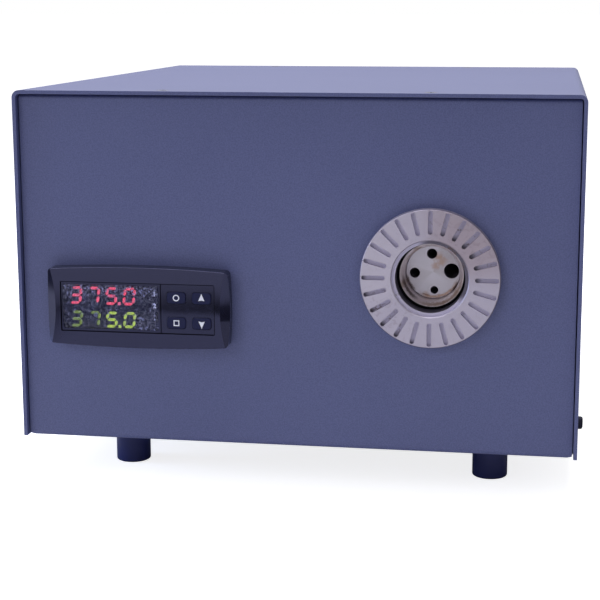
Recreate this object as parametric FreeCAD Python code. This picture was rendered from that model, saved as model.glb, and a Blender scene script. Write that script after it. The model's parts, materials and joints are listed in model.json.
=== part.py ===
import FreeCAD, Part
import math
import os

from FreeCAD import Vector

# A bench dry well instrument: a painted sheet case that holds a heated block with a
# removable probe insert, a panel controller, a fan and the mains fittings.
# Millimetres. While it is built, x = 0 is the middle of the case, y = 0 the front edge
# of the cover and z = 0 the bench. At the end all pieces move along y together, so that
# the origin lies under the middle of the whole instrument.

# Case
case_width = 230.0
case_height = 145.0
case_depth = 265.0
sheet = 1.5
cover_inner_bend = 1.5
chassis_inner_bend = 0.4
panel_recess = 2.5
panel_side_gap = 0.5
panel_corner = 1.5
flange_gap = 0.1
cover_rise = 0.3
top_flange_depth = 16.0
side_flange_height = 24.0
side_flange_relief = 1.0
corner_clip_width = 2.3
corner_clip_height = 0.9

# Feet and their fixings
foot_height = 20.0
foot_radius = 7.5
foot_edge = 0.8
foot_side_inset = 36.0
foot_inset = 40.0
foot_recess_radius = 4.6
foot_recess_depth = 6.0
foot_head_room = 0.8
foot_head_height = 2.6
foot_screw_radius = 2.0
foot_nut_flats = 7.0
foot_nut_height = 3.2

# Fixings of the case
small_screw_radius = 1.5
small_head_radius = 2.6
small_head_height = 2.1
hole_clearance = 0.2
thread_clearance = 0.05
fit_clearance = 0.1
seat_gap = 0.3
screw_end = 1.0
head_round = 0.45
top_screw_side_inset = 60.8
top_screw_inset = 8.7
top_screw_length = 6.0
side_screw_inset = 14.0
side_screw_height = 12.0
side_screw_length = 5.0
recess_width = 0.7
recess_span = 2.6
recess_depth = 1.0

# Well plate on the front panel
well_side_inset = 59.6
well_height = 72.1
plate_radius = 28.0
plate_thickness = 3.5
plate_edge = 0.4
slot_count = 24
slot_inner_land = 2.6
slot_rim = 0.7
slot_width = 1.8
slot_depth = 1.6
nose_gap = 1.0
ledge_width = 1.3
counterbore_depth = 1.5
hub_wall = 3.5
ring_nut_wall = 4.5
ring_nut_thickness = 4.0
ring_nut_notch = 3.0
ring_nut_notches = 4
hub_past_nut = 0.5

# Heating block, insert and heaters
nose_radius = 13.0
nose_setback = 9.5
mouth_lip = 0.4
mouth_depth = 3.5
bore_radius = 11.2
block_wall = 2.0
shoulder_setback = 26.0
block_length = 120.0
bore_floor = 14.0
insert_setback = 17.5
insert_edge = 0.25
probe_inset = 3.7
probe_turn = 4.2
probe_depth = 105.0
probe_depth_step = 3.0
probe_diameters = [6.0, 4.0, 4.0, 3.0]
heater_radius = 4.0
heater_wall = 2.8
heater_length = 100.0
sensor_radius = 1.5
sensor_wall = 4.3
sensor_length = 60.0

# Insulation and can
can_radius = 42.0
can_wall = 1.0
can_flange = 7.0
can_opening_margin = 3.0
rear_insulator_thickness = 14.0
tail_length = 5.0
bulkhead_setback = 12.0
bulkhead_sheet = 2.0
bulkhead_inner_bend = 1.0
bulkhead_margin = 1.5
bulkhead_foot = 15.0
bulkhead_nose_gap = 3.5
rear_bulkhead_inset = 22.0
bulkhead_screw_spacing = 70.0
rivet_radius = 1.6
rivet_head_radius = 3.0
rivet_head_height = 1.0
limiter_radius = 8.0
limiter_length = 9.0
limiter_rim = 1.0
limiter_tab_x = 3.0
limiter_tab_thickness = 0.8
limiter_tab_width = 6.0
limiter_tab_length = 6.0

# Fan in the rear panel
fan_size = 60.0
fan_depth = 20.0
fan_rim = 1.5
fan_hole_inset = 5.0
fan_corner = 4.0
fan_strut = 3.0
fan_plate = 2.5
fan_web = 6.0
rotor_tip_gap = 0.8
rotor_hub_radius = 12.5
rotor_length = 13.0
rotor_wall = 2.0
blade_root = 1.0
blade_count = 7
blade_thickness = 1.2
blade_chord = 13.0
blade_pitch = 38.0
shaft_radius = 1.5
shaft_length = 4.0
fan_bush_wall = 2.25
running_clearance = 0.05
guard_wire = 1.6
guard_rings = [9.0, 16.0, 23.0]
guard_weld = 0.7
guard_eye_radius = 4.4
guard_eye_thickness = 1.2
fan_screw_grip = 8.0

# Mains inlet and rocker on the rear panel
inlet_side_inset = 53.0
inlet_height = 44.0
inlet_width = 50.0
inlet_flange_height = 38.0
inlet_flange = 2.5
inlet_side_wall = 2.7
inlet_body_depth = 24.0
inlet_corner = 3.0
socket_width = 24.6
socket_height = 16.6
socket_depth = 17.0
socket_top_wall = 1.7
pin_width = 2.0
pin_height = 4.0
pin_length = 12.0
pin_spacing = 7.0
pin_offset = 2.0
drawer_width = 24.0
drawer_height = 8.0
drawer_depth = 18.0
drawer_wall = 1.0
drawer_lip = 1.5
fuse_radius = 2.5
fuse_length = 18.0
inlet_screw_inset = 5.0
inlet_screw_end = 3.0
rocker_height_above_base = 96.0
rocker_rim_x = 1.2
rocker_rim_z = 1.75
rocker_flange = 2.0
rocker_corner = 1.0
rocker_wall_x = 2.3
rocker_wall_z = 2.25
rocker_body_depth = 17.0
rocker_width = 14.0
rocker_length = 17.0
rocker_depth = 6.0
rocker_rise = 2.6
rocker_dip = 1.3
rocker_tilt = 9.0
rocker_play = 0.5
rocker_pin_radius = 1.2
rocker_pin_length = 1.2
rocker_room = 10.0
rocker_waist = 0.7

# Parts on the base
relay_side_inset = 53.0
relay_rear_inset = 142.0
relay_width = 45.0
relay_length = 58.0
relay_height = 23.0
relay_screw_inset = 5.0
relay_ear = 4.0
relay_head_room = 0.6
relay_post_radius = 3.5
relay_post_height = 2.0
relay_post_inset = 6.5
terminal_side_inset = 85.0
terminal_rear_inset = 64.0
terminal_ways = 6
terminal_pitch = 10.0
terminal_width = 22.0
terminal_height = 16.0
terminal_screw_radius = 2.0
terminal_screw_inset = 5.5
terminal_screw_depth = 8.0
terminal_screw_sink = 1.5
earth_side_inset = 97.0
earth_rear_inset = 20.0
earth_length = 14.0
earth_collar = 1.0
earth_rim = 1.5
vent_count = 11
vent_pitch = 9.0
vent_width = 3.0
vent_length = 40.0
vent_y = 85.0

# Panel controller
control_side_inset = 51.7
control_height = 57.5
bezel_width = 76.5
bezel_height = 33.5
bezel_bow = 1.2
bezel_end_bow = 0.8
bezel_depth = 6.5
bezel_corner = 1.8
bezel_edge = 0.5
scoop_radius = 120.0
scoop_reach = 3.8
scoop_tilt = 60.0
gasket_thickness = 0.5
gasket_inset = 0.5
cutout_clearance = 1.1
bezel_cheek = 6.0
bezel_rail = 6.45
fascia_corner = 0.6
fascia_sink = 0.5
fascia_thickness = 1.3
fascia_ledge = 0.5
ledge_thickness = 0.6
bezel_wall = 3.0
window_left_margin = 0.8
window_right_margin = 23.4
window_edge_margin = 1.1
window_corner = 1.2
seam_inset = 22.4
seam_width = 0.35
seam_depth = 0.5
window_thickness = 0.8
display_overlap = 0.25
display_thickness = 2.3
digit_relief = 0.3
digit_pitch = 7.5
digit_first_inset = 5.35
digit_width = 5.0
digit_stroke = 1.05
digit_gap = 0.25
digit_slant = 8.0
upper_digit_share = 0.525
digit_top_margin = 1.1
digit_row_gap = 2.9
digit_bottom_margin = 0.5
point_size = 1.1
mark_inset = 1.9
mark_size = 1.1
mark_levels = [0.62, 0.085, -0.46]
key_right_insets = [15.85, 5.35]
key_top_inset = 5.6
key_bottom_inset = 4.6
key_width = 7.8
key_height = 4.7
key_corner = 1.4
key_edge = 0.3
key_proud = 0.35
key_travel = 0.5
key_lip = 0.5
key_lip_thickness = 0.8
key_hole_clearance = 0.15
switch_size = 3.0
switch_gap = 0.2
board_thickness = 1.4
case_length = 58.0
case_wall = 1.5
strip_depth = 10.0
strip_ways = 12
strip_slot = 2.6
strip_margin = 3.0
clamp_height = 12.0
clamp_thickness = 4.0
clamp_length = 14.0
power_board_length = 46.0
power_board_margin = 3.9
power_board_gap = 2.0
transformer_x = 16.0
transformer_start = 8.0
transformer_width = 20.0
transformer_length = 22.0
transformer_height = 15.0
capacitor_radius = 5.0
capacitor_x = -16.0
capacitor_y = 18.0
capacitor_height = 14.0

# Leads inside the case
lead_radius = 2.0
sensor_lead_radius = 1.2
supply_entry_height = 5.3
heater_entry_height = 8.0
sensor_lead_turn = 20.0
sensor_lead_side = 12.0
strip_entry_x = 12.0
strip_entry_drop = 6.0
sensor_lead_slack = 30.0
strip_lead_start = 20.0
control_lead_run = 16.0
relay_entry_height = 16.0
bend_share = 0.45

# Modelling allowances: how close counts as on a face, and how far a cut runs past one
near = 0.01
past = 1.0

# Levels and places that follow from the sizes above
base_z = foot_height
floor_z = base_z + sheet
top_z = base_z + case_height
half_width = case_width / 2
inner_half = half_width - sheet
cover_bend = cover_inner_bend + sheet
chassis_bend = chassis_inner_bend + sheet
bulkhead_bend = bulkhead_inner_bend + bulkhead_sheet
foot_x = half_width - foot_side_inset
top_screw_x = half_width - top_screw_side_inset
panel_half = inner_half - panel_side_gap
flange_half = inner_half - flange_gap
flange_top = top_z - sheet - flange_gap
panel_y = panel_recess
panel_back = panel_y + sheet
rear_y = case_depth - panel_recess
rear_inner = rear_y - sheet
well_x = half_width - well_side_inset
well_z = base_z + well_height
ledge_radius = nose_radius + nose_gap
counterbore_radius = ledge_radius + ledge_width
slot_inner_radius = counterbore_radius + slot_inner_land
slot_outer_radius = plate_radius - slot_rim
hub_radius = ledge_radius + hub_wall
ring_nut_radius = hub_radius + ring_nut_wall
heater_circle_radius = bore_radius + heater_wall + heater_radius
sensor_circle_radius = bore_radius + sensor_wall + sensor_radius
block_radius = heater_circle_radius + heater_radius + block_wall
probe_circle_radius = bore_radius - probe_inset
can_back_opening = heater_circle_radius + heater_radius + can_opening_margin
bulkhead_opening = nose_radius + bulkhead_nose_gap
limiter_height = can_radius - limiter_radius - limiter_rim
plate_face = panel_y - plate_thickness
hub_end = panel_back + ring_nut_thickness + hub_past_nut
nose_y = plate_face + nose_setback
shoulder_y = plate_face + shoulder_setback
block_end = shoulder_y + block_length
bore_end = block_end - bore_floor
insert_y = plate_face + insert_setback
bulkhead_y = plate_face + bulkhead_setback
can_front = bulkhead_y + bulkhead_sheet
can_inner = can_radius - can_wall
can_end = block_end + rear_insulator_thickness
can_back = can_end + can_wall
fan_y = rear_inner - fan_depth
fan_bore_radius = fan_size / 2 - fan_rim
fan_hole_pitch = fan_size - 2 * fan_hole_inset
inlet_x = inlet_side_inset - half_width
inlet_body_width = socket_width + 2 * inlet_side_wall
inlet_body_height = inlet_flange_height - 2 * inlet_flange
inlet_screw_spacing = inlet_width - 2 * inlet_screw_inset
rocker_body_width = rocker_width + 2 * rocker_wall_x
rocker_body_height = rocker_length + 2 * rocker_wall_z
rocker_flange_width = rocker_body_width + 2 * rocker_rim_x
rocker_flange_height = rocker_body_height + 2 * rocker_rim_z
relay_x = relay_side_inset - half_width
relay_y = rear_inner - relay_rear_inset
relay_slot = relay_length - 2 * relay_screw_inset
terminal_x = terminal_side_inset - half_width
terminal_y = rear_inner - terminal_rear_inset
earth_x = earth_side_inset - half_width
earth_y = rear_inner - earth_rear_inset
inlet_z = base_z + inlet_height
rocker_z = base_z + rocker_height_above_base
control_x = control_side_inset - half_width
control_z = base_z + control_height
case_width_inside = bezel_width - 2 * bezel_wall - 2 * fit_clearance
case_height_inside = bezel_height - 2 * bezel_wall - 2 * fit_clearance
cutout_width = case_width_inside + 2 * cutout_clearance
cutout_height = case_height_inside + 2 * cutout_clearance
fascia_width = bezel_width - 2 * bezel_cheek
fascia_height = bezel_height - 2 * bezel_rail
window_width = fascia_width - window_left_margin - window_right_margin
window_height = fascia_height - 2 * window_edge_margin
window_x = (window_left_margin - window_right_margin) / 2
digit_room = window_height - digit_top_margin - digit_row_gap - digit_bottom_margin
upper_digit_height = digit_room * upper_digit_share
lower_digit_height = digit_room - upper_digit_height
upper_digit_z = window_height / 2 - digit_top_margin - upper_digit_height / 2
lower_digit_z = digit_bottom_margin + lower_digit_height / 2 - window_height / 2
digit_first_x = window_x - window_width / 2 + digit_first_inset
mark_x = window_x + window_width / 2 - mark_inset
seam_x = fascia_width / 2 - seam_inset
key_x = [fascia_width / 2 - inset for inset in key_right_insets]
key_z = [fascia_height / 2 - key_top_inset, key_bottom_inset - fascia_height / 2]
bezel_back = panel_y - gasket_thickness
bezel_face = bezel_back - bezel_depth
fascia_y = bezel_face + fascia_sink
fascia_back = fascia_y + fascia_thickness
display_back = fascia_back + display_thickness
board_back = display_back + board_thickness
case_end = board_back + case_length


def box(x0, x1, y0, y1, z0, z1):
    """A block between two corners."""
    return Part.makeBox(x1 - x0, y1 - y0, z1 - z0, Vector(x0, y0, z0))


def block_at(x, z, width, height, y0, y1):
    """A block centred on x and z, between two depths."""
    return box(x - width / 2, x + width / 2, y0, y1, z - height / 2, z + height / 2)


def rod_y(radius, x, z, y0, y1):
    """A round bar along y."""
    return Part.makeCylinder(radius, y1 - y0, Vector(x, y0, z), Vector(0, 1, 0))


def rod_z(radius, x, y, z0, z1):
    """A round bar along z."""
    return Part.makeCylinder(radius, z1 - z0, Vector(x, y, z0), Vector(0, 0, 1))


def rod_x(radius, y, z, x0, x1):
    """A round bar along x."""
    return Part.makeCylinder(radius, x1 - x0, Vector(x0, y, z), Vector(1, 0, 0))


def tube_y(outer, inner, x, z, y0, y1):
    """A round tube along y."""
    return rod_y(outer, x, z, y0, y1).cut(rod_y(inner, x, z, y0, y1))


def union(shapes):
    """All shapes joined to one, without the seams between flush faces."""
    if len(shapes) == 1:
        return shapes[0]
    return shapes[0].fuse(shapes[1:]).removeSplitter()


def group(shapes):
    """Like pieces that stay apart from each other."""
    return Part.makeCompound(shapes)


def runs_along(edge, axis):
    """True for a straight edge that runs along the axis."""
    if not isinstance(edge.Curve, (Part.Line, Part.LineSegment)):
        return False
    span = edge.Vertexes[-1].Point.sub(edge.Vertexes[0].Point)
    return span.cross(axis).Length < 1e-6 * max(span.Length, 1.0)


def round_edges(shape, radius, axis, chosen=lambda middle: True):
    """The straight edges along an axis, rounded where the test on their middle holds."""
    edges = [e for e in shape.Edges if runs_along(e, axis) and chosen(e.CenterOfMass)]
    return shape.makeFillet(radius, edges)


def rounded_block(x, z, width, height, y0, y1, corner):
    """A block whose four edges along y are round."""
    return round_edges(block_at(x, z, width, height, y0, y1), corner, Vector(0, 1, 0))


def turned(profile, x, z):
    """A turned piece about an axis along y, from (radius, y) points."""
    points = [Vector(x + radius, y, z) for radius, y in profile]
    face = Part.Face(Part.makePolygon(points + points[:1]))
    return face.revolve(Vector(x, 0, z), Vector(0, 1, 0), 360)


def prism_x(points, x0, x1):
    """A prism along x, from (y, z) points."""
    corners = [Vector(x0, y, z) for y, z in points]
    return Part.Face(Part.makePolygon(corners + corners[:1])).extrude(Vector(x1 - x0, 0, 0))


def prism_y(points, y0, y1):
    """A prism along y, from (x, z) points."""
    corners = [Vector(x, y0, z) for x, z in points]
    return Part.Face(Part.makePolygon(corners + corners[:1])).extrude(Vector(0, y1 - y0, 0))


def aim(shape, place, direction):
    """A piece made along +z, turned to a direction and put in its place."""
    moved = shape.copy()
    turn = FreeCAD.Rotation(Vector(0, 0, 1), Vector(*direction))
    moved.Placement = FreeCAD.Placement(Vector(*place), turn)
    return moved


def hexagon(flats, z0, z1, bore):
    """A plain nut about the z axis."""
    corner = flats / math.sqrt(3)
    points = [Vector(corner * math.cos(math.radians(60 * i)),
                     corner * math.sin(math.radians(60 * i)), z0) for i in range(6)]
    body = Part.Face(Part.makePolygon(points + points[:1])).extrude(Vector(0, 0, z1 - z0))
    return body.cut(Part.makeCylinder(bore, z1 - z0, Vector(0, 0, z0)))


def cross_recess(top):
    """The tool that cuts a cross recess into a screw head."""
    long_way = Part.makeBox(recess_span, recess_width, recess_depth,
                            Vector(-recess_span / 2, -recess_width / 2, top - recess_depth))
    short_way = Part.makeBox(recess_width, recess_span, recess_depth,
                             Vector(-recess_width / 2, -recess_span / 2, top - recess_depth))
    return long_way.fuse(short_way)


def pan_screw(shank, head, height, length):
    """A pan head screw; its head stands on z = 0 and its shank runs down."""
    top = Part.makeCylinder(head, height)
    rim = [e for e in top.Edges if e.CenterOfMass.z > height - near and e.Closed]
    top = top.makeFillet(height * head_round, rim[:1])
    body = union([top, Part.makeCylinder(shank, length, Vector(0, 0, -length))])
    return body.cut(cross_recess(height))


def countersunk_screw(shank, head, length):
    """A countersunk screw; its flat head ends at z = 0."""
    depth = head - shank
    cone = Part.makeCone(shank, head, depth, Vector(0, 0, -depth))
    body = union([cone, Part.makeCylinder(shank, length, Vector(0, 0, -length))])
    return body.cut(cross_recess(0.0))


def lead(points, radius):
    """A lead along straight runs joined by arcs as large as the runs allow."""
    route = [Vector(*p) for p in points]
    edges = []
    start = route[0]
    for before, corner, after in zip(route, route[1:], route[2:]):
        way_in = corner.sub(before)
        way_out = after.sub(corner)
        turn = way_in.getAngle(way_out)
        reach = bend_share * min(way_in.Length, way_out.Length)
        arc_radius = reach / math.tan(turn / 2)
        way_in.normalize()
        way_out.normalize()
        first = corner.sub(way_in * reach)
        last = corner.add(way_out * reach)
        inward = way_out.sub(way_in)
        inward.normalize()
        middle = corner.add(inward * (arc_radius / math.cos(turn / 2) - arc_radius))
        edges.append(Part.LineSegment(start, first).toShape())
        edges.append(Part.Arc(first, middle, last).toShape())
        start = last
    edges.append(Part.LineSegment(start, route[-1]).toShape())
    path = Part.Wire(edges)
    heading = route[1].sub(route[0])
    section = Part.Wire(Part.makeCircle(radius, route[0], heading))
    return path.makePipeShell([section], True, False)


# Places of the fixings
foot_places = {
    "front_left": (-foot_x, foot_inset),
    "front_right": (foot_x, foot_inset),
    "rear_left": (-foot_x, case_depth - foot_inset),
    "rear_right": (foot_x, case_depth - foot_inset),
}
top_screw_places = [(x, y) for x in (-top_screw_x, top_screw_x)
                    for y in (top_screw_inset, case_depth - top_screw_inset)]
side_screw_ys = [side_screw_inset, case_depth - side_screw_inset]
side_screw_z = base_z + side_screw_height
rear_bulkhead_y = can_back - rear_bulkhead_inset
bulkhead_half = can_radius + can_flange + bulkhead_margin
bulkhead_ys = [bulkhead_y, rear_bulkhead_y]
bulkhead_screw_places = [(well_x + side * bulkhead_screw_spacing / 2,
                          y + bulkhead_sheet + bulkhead_foot / 2)
                         for y in bulkhead_ys for side in (-1, 1)]
rivet_circle = can_radius + can_flange / 2
rivet_places = [(well_x + rivet_circle * math.cos(math.radians(a)),
                 well_z + rivet_circle * math.sin(math.radians(a))) for a in (45, 135, 225, 315)]
heater_places = [(well_x - heater_circle_radius, well_z), (well_x + heater_circle_radius, well_z)]
sensor_place = (well_x, well_z - sensor_circle_radius)
fan_corners = [(well_x + i * fan_hole_pitch / 2, well_z + j * fan_hole_pitch / 2)
               for i in (-1, 1) for j in (-1, 1)]
relay_screw_places = [(relay_x, relay_y + relay_length / 2 + side * relay_slot / 2)
                      for side in (-1, 1)]
inlet_screw_xs = [inlet_x - inlet_screw_spacing / 2, inlet_x + inlet_screw_spacing / 2]
socket_z = inlet_z + inlet_body_height / 2 - socket_top_wall - socket_height / 2
drawer_z = inlet_z - inlet_body_height / 2 + drawer_wall + drawer_height / 2


def cover():
    """The inverted U of folded sheet that wraps over the chassis."""
    low = base_z + cover_rise
    outer = box(-case_width / 2, case_width / 2, 0, case_depth, low, top_z)
    inner = box(-inner_half, inner_half, 0, case_depth, low, top_z - sheet)
    along = Vector(0, 1, 0)
    outer = round_edges(outer, cover_bend, along, lambda m: m.z > top_z - near)
    inner = round_edges(inner, cover_inner_bend, along, lambda m: m.z > top_z - sheet - near)
    shell = outer.cut(inner)
    head_depth = small_head_radius - small_screw_radius
    tools = []
    for x, y in top_screw_places:
        tools.append(Part.makeCone(small_screw_radius + fit_clearance, small_head_radius + fit_clearance,
                                   head_depth, Vector(x, y, top_z - head_depth)))
        tools.append(rod_z(small_screw_radius + fit_clearance, x, y, top_z - sheet, top_z))
    for y in side_screw_ys:
        hole = small_screw_radius + hole_clearance
        tools.append(rod_x(hole, y, side_screw_z, -case_width / 2, -inner_half))
        tools.append(rod_x(hole, y, side_screw_z, inner_half, case_width / 2))
    return shell.cut(tools)


def fan_opening(y0, y1):
    """The fan's opening: a ring that leaves a cross of sheet and a disc over the motor."""
    ring = tube_y(fan_bore_radius, rotor_hub_radius, well_x, well_z, y0, y1)
    reach = 2 * fan_bore_radius + past
    return ring.cut([block_at(well_x, well_z, reach, fan_web, y0, y1),
                     block_at(well_x, well_z, fan_web, reach, y0, y1)])


def panel_corner_cuts():
    """What comes off the panels' top corners, so that they follow the cover's bends."""
    z = flange_top - panel_corner
    tools = []
    for side in (-1, 1):
        inner = side * (panel_half - panel_corner)
        outer = side * (panel_half + past)
        square = box(min(inner, outer), max(inner, outer), panel_y, rear_y, z, flange_top + past)
        tools.append(square.cut(rod_y(panel_corner, inner, z, panel_y, rear_y)))
    return tools


def panel_cuts():
    """Everything that is cut through the front and the rear panel."""
    through = (panel_y, panel_back)
    rear = (rear_inner, rear_y)
    tools = panel_corner_cuts() + [block_at(control_x, control_z, cutout_width, cutout_height, *through)]
    tools.append(rod_y(hub_radius + hole_clearance, well_x, well_z, *through))
    tools.append(fan_opening(*rear))
    for x, z in fan_corners:
        tools.append(rod_y(small_screw_radius + hole_clearance, x, z, *rear))
    tools.append(block_at(inlet_x, inlet_z, inlet_body_width + 2 * hole_clearance,
                          inlet_body_height + 2 * hole_clearance, *rear))
    for x in inlet_screw_xs:
        tools.append(rod_y(small_screw_radius + hole_clearance, x, inlet_z, *rear))
    tools.append(block_at(inlet_x, rocker_z, rocker_body_width + 2 * hole_clearance,
                          rocker_body_height + 2 * hole_clearance, *rear))
    clip = [(panel_half - corner_clip_width, base_z), (panel_half + past, base_z),
            (panel_half + past, base_z + corner_clip_height),
            (panel_half, base_z + corner_clip_height)]
    for side in (-1, 1):
        outline = [(side * x, z) for x, z in clip]
        tools.append(prism_y(outline, panel_y, panel_back + side_flange_relief))
        tools.append(prism_y(outline, rear_inner - side_flange_relief, rear_y))
    return tools


def base_cuts():
    """Everything that is cut through the base and the flanges."""
    through = (base_z, floor_z)
    tools = []
    for x, y in foot_places.values():
        tools.append(rod_z(foot_screw_radius + hole_clearance, x, y, *through))
    for x, y in bulkhead_screw_places + relay_screw_places:
        tools.append(rod_z(small_screw_radius + hole_clearance, x, y, *through))
    tools.append(rod_z(foot_screw_radius + thread_clearance, earth_x, earth_y, *through))
    for i in range(vent_count):
        x = well_x + (i - (vent_count - 1) / 2) * vent_pitch
        half = vent_width / 2
        tools.append(box(x - half, x + half, vent_y + half, vent_y + vent_length - half, *through))
        tools.append(rod_z(half, x, vent_y + half, *through))
        tools.append(rod_z(half, x, vent_y + vent_length - half, *through))
    for x, y in top_screw_places:
        tools.append(rod_z(small_screw_radius + thread_clearance, x, y, flange_top - sheet, flange_top))
    for y in side_screw_ys:
        tapped = small_screw_radius + thread_clearance
        tools.append(rod_x(tapped, y, side_screw_z, -flange_half, -flange_half + sheet))
        tools.append(rod_x(tapped, y, side_screw_z, flange_half - sheet, flange_half))
    return tools


def chassis():
    """Front panel, base and rear panel, folded from one sheet with its flanges."""
    along = Vector(1, 0, 0)
    outer = round_edges(box(-panel_half, panel_half, panel_y, rear_y, base_z, flange_top),
                        chassis_bend, along)
    inner = round_edges(box(-panel_half, panel_half, panel_back, rear_inner, floor_z,
                            flange_top - sheet), chassis_inner_bend, along)
    frame = outer.cut(inner)
    frame = frame.cut(box(-panel_half, panel_half, panel_y + top_flange_depth,
                          rear_y - top_flange_depth, flange_top - sheet, flange_top))
    along = Vector(0, 1, 0)
    front = panel_back + side_flange_relief
    back = rear_inner - side_flange_relief
    high = base_z + side_flange_height
    flat_half = flange_half - chassis_bend
    frame = frame.cut([box(-panel_half, -flat_half, front, back, base_z, floor_z),
                       box(flat_half, panel_half, front, back, base_z, floor_z)])
    tray = box(-flange_half, flange_half, front, back, base_z, high)
    room = box(-flange_half + sheet, flange_half - sheet, front, back, floor_z, high)
    tray = round_edges(tray, chassis_bend, along, lambda m: m.z < base_z + near)
    room = round_edges(room, chassis_inner_bend, along, lambda m: m.z < floor_z + near)
    return union([frame, tray.cut(room)]).cut(panel_cuts() + base_cuts())


def foot(x, y):
    """A round black foot with a recess for its screw."""
    body = rod_z(foot_radius, x, y, 0, base_z)
    rim = [e for e in body.Edges if e.Closed and e.CenterOfMass.z < near]
    body = body.makeFillet(foot_edge, rim[:1])
    return body.cut([rod_z(foot_recess_radius, x, y, 0, foot_recess_depth),
                     rod_z(foot_screw_radius + hole_clearance, x, y, 0, base_z)])


def foot_screws():
    """Four screws that hold the feet, heads in the recesses."""
    reach = base_z - foot_recess_depth + sheet + foot_nut_height + screw_end
    screw = pan_screw(foot_screw_radius, foot_recess_radius - foot_head_room,
                      foot_head_height, reach)
    return group([aim(screw, (x, y, foot_recess_depth), (0, 0, -1)) for x, y in foot_places.values()])


def base_nuts():
    """The nuts on the base: one above each foot and one on the earth stud."""
    nut = hexagon(foot_nut_flats, 0, foot_nut_height, foot_screw_radius + thread_clearance)
    places = [(x, y, floor_z) for x, y in foot_places.values()]
    places.append((earth_x, earth_y, floor_z + earth_collar))
    return group([aim(nut, place, (0, 0, 1)) for place in places])


def cover_screws():
    """Countersunk screws through the cover into the top flanges."""
    screw = countersunk_screw(small_screw_radius, small_head_radius, top_screw_length)
    return group([aim(screw, (x, y, top_z), (0, 0, 1)) for x, y in top_screw_places])


def side_screws():
    """Pan head screws through the cover's sides into the side flanges."""
    screw = pan_screw(small_screw_radius, small_head_radius, small_head_height, side_screw_length)
    return group([aim(screw, (side * case_width / 2, y, side_screw_z), (side, 0, 0))
                  for side in (-1, 1) for y in side_screw_ys])


def well_plate():
    """The turned plate round the well, with its slots and its threaded hub."""
    step_y = plate_face + counterbore_depth
    plate = turned([(counterbore_radius + plate_edge, plate_face),
                    (plate_radius - plate_edge, plate_face),
                    (plate_radius, plate_face + plate_edge),
                    (plate_radius, panel_y),
                    (hub_radius, panel_y),
                    (hub_radius, hub_end),
                    (ledge_radius, hub_end),
                    (ledge_radius, step_y),
                    (counterbore_radius, step_y),
                    (counterbore_radius, plate_face + plate_edge)], well_x, well_z)
    end_radius = slot_width / 2
    inner = slot_inner_radius + end_radius
    outer = slot_outer_radius - end_radius
    floor = plate_face + slot_depth
    slot = union([
        box(well_x + inner, well_x + outer, plate_face, floor, well_z - end_radius, well_z + end_radius),
        rod_y(end_radius, well_x + inner, well_z, plate_face, floor),
        rod_y(end_radius, well_x + outer, well_z, plate_face, floor),
    ])
    slots = []
    for i in range(slot_count):
        copy = slot.copy()
        copy.rotate(Vector(well_x, 0, well_z), Vector(0, 1, 0), i * 360.0 / slot_count)
        slots.append(copy)
    return plate.cut(slots)


def plate_ring_nut():
    """The notched ring nut that holds the plate from behind the panel."""
    nut = tube_y(ring_nut_radius, hub_radius + thread_clearance, well_x, well_z,
                 panel_back, panel_back + ring_nut_thickness)
    notch = box(well_x + ring_nut_radius - ring_nut_notch / 2, well_x + ring_nut_radius + past,
                panel_back, panel_back + ring_nut_thickness,
                well_z - ring_nut_notch / 2, well_z + ring_nut_notch / 2)
    tools = []
    for i in range(ring_nut_notches):
        copy = notch.copy()
        copy.rotate(Vector(well_x, 0, well_z), Vector(0, 1, 0), (i + 0.5) * 360.0 / ring_nut_notches)
        tools.append(copy)
    return nut.cut(tools)


def heating_block():
    """The turned metal block: a round nose with a coned mouth, a bore and heater holes."""
    block = turned([(0, bore_end), (bore_radius, bore_end),
                    (bore_radius, nose_y + mouth_depth),
                    (nose_radius - mouth_lip, nose_y),
                    (nose_radius, nose_y),
                    (nose_radius, shoulder_y),
                    (block_radius, shoulder_y),
                    (block_radius, block_end),
                    (0, block_end)], well_x, well_z)
    tools = [rod_y(heater_radius + fit_clearance, x, z, block_end - heater_length, block_end)
             for x, z in heater_places]
    tools.append(rod_y(sensor_radius + fit_clearance, *sensor_place,
                       block_end - sensor_length, block_end))
    return block.cut(tools)


def probe_places():
    """Where the probe bores lie on the insert's circle."""
    return [(well_x + probe_circle_radius * math.cos(math.radians(90 * i + probe_turn)),
             well_z + probe_circle_radius * math.sin(math.radians(90 * i + probe_turn)))
            for i in range(len(probe_diameters))]


def probe_depths():
    """How deep the bores go: each next one, for a probe no thicker, a step less deep."""
    return [probe_depth - i * probe_depth_step for i in range(len(probe_diameters))]


def probe_insert():
    """The loose insert with one bore for each size of probe."""
    radius = bore_radius - fit_clearance
    insert = turned([(0, insert_y), (radius - insert_edge, insert_y),
                     (radius, insert_y + insert_edge), (radius, bore_end), (0, bore_end)],
                    well_x, well_z)
    bores = [rod_y(diameter / 2 + fit_clearance, x, z, insert_y, insert_y + depth)
             for diameter, depth, (x, z) in zip(probe_diameters, probe_depths(), probe_places())]
    return insert.cut(bores)


def heaters():
    """Two cartridge heaters, their tails through the rear insulation."""
    return group([rod_y(heater_radius, x, z, block_end - heater_length, can_back + tail_length)
                  for x, z in heater_places])


def control_sensor():
    """The sheathed sensor in the block."""
    return rod_y(sensor_radius, *sensor_place, block_end - sensor_length, can_back + tail_length)


def front_insulator():
    """The rigid disc that carries the block's nose."""
    return tube_y(can_inner - fit_clearance, nose_radius + fit_clearance, well_x, well_z,
                  can_front, shoulder_y)


def insulation_sleeve():
    """The fibre sleeve round the block."""
    return tube_y(can_inner - fit_clearance, block_radius + fit_clearance, well_x, well_z,
                  shoulder_y, block_end)


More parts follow.
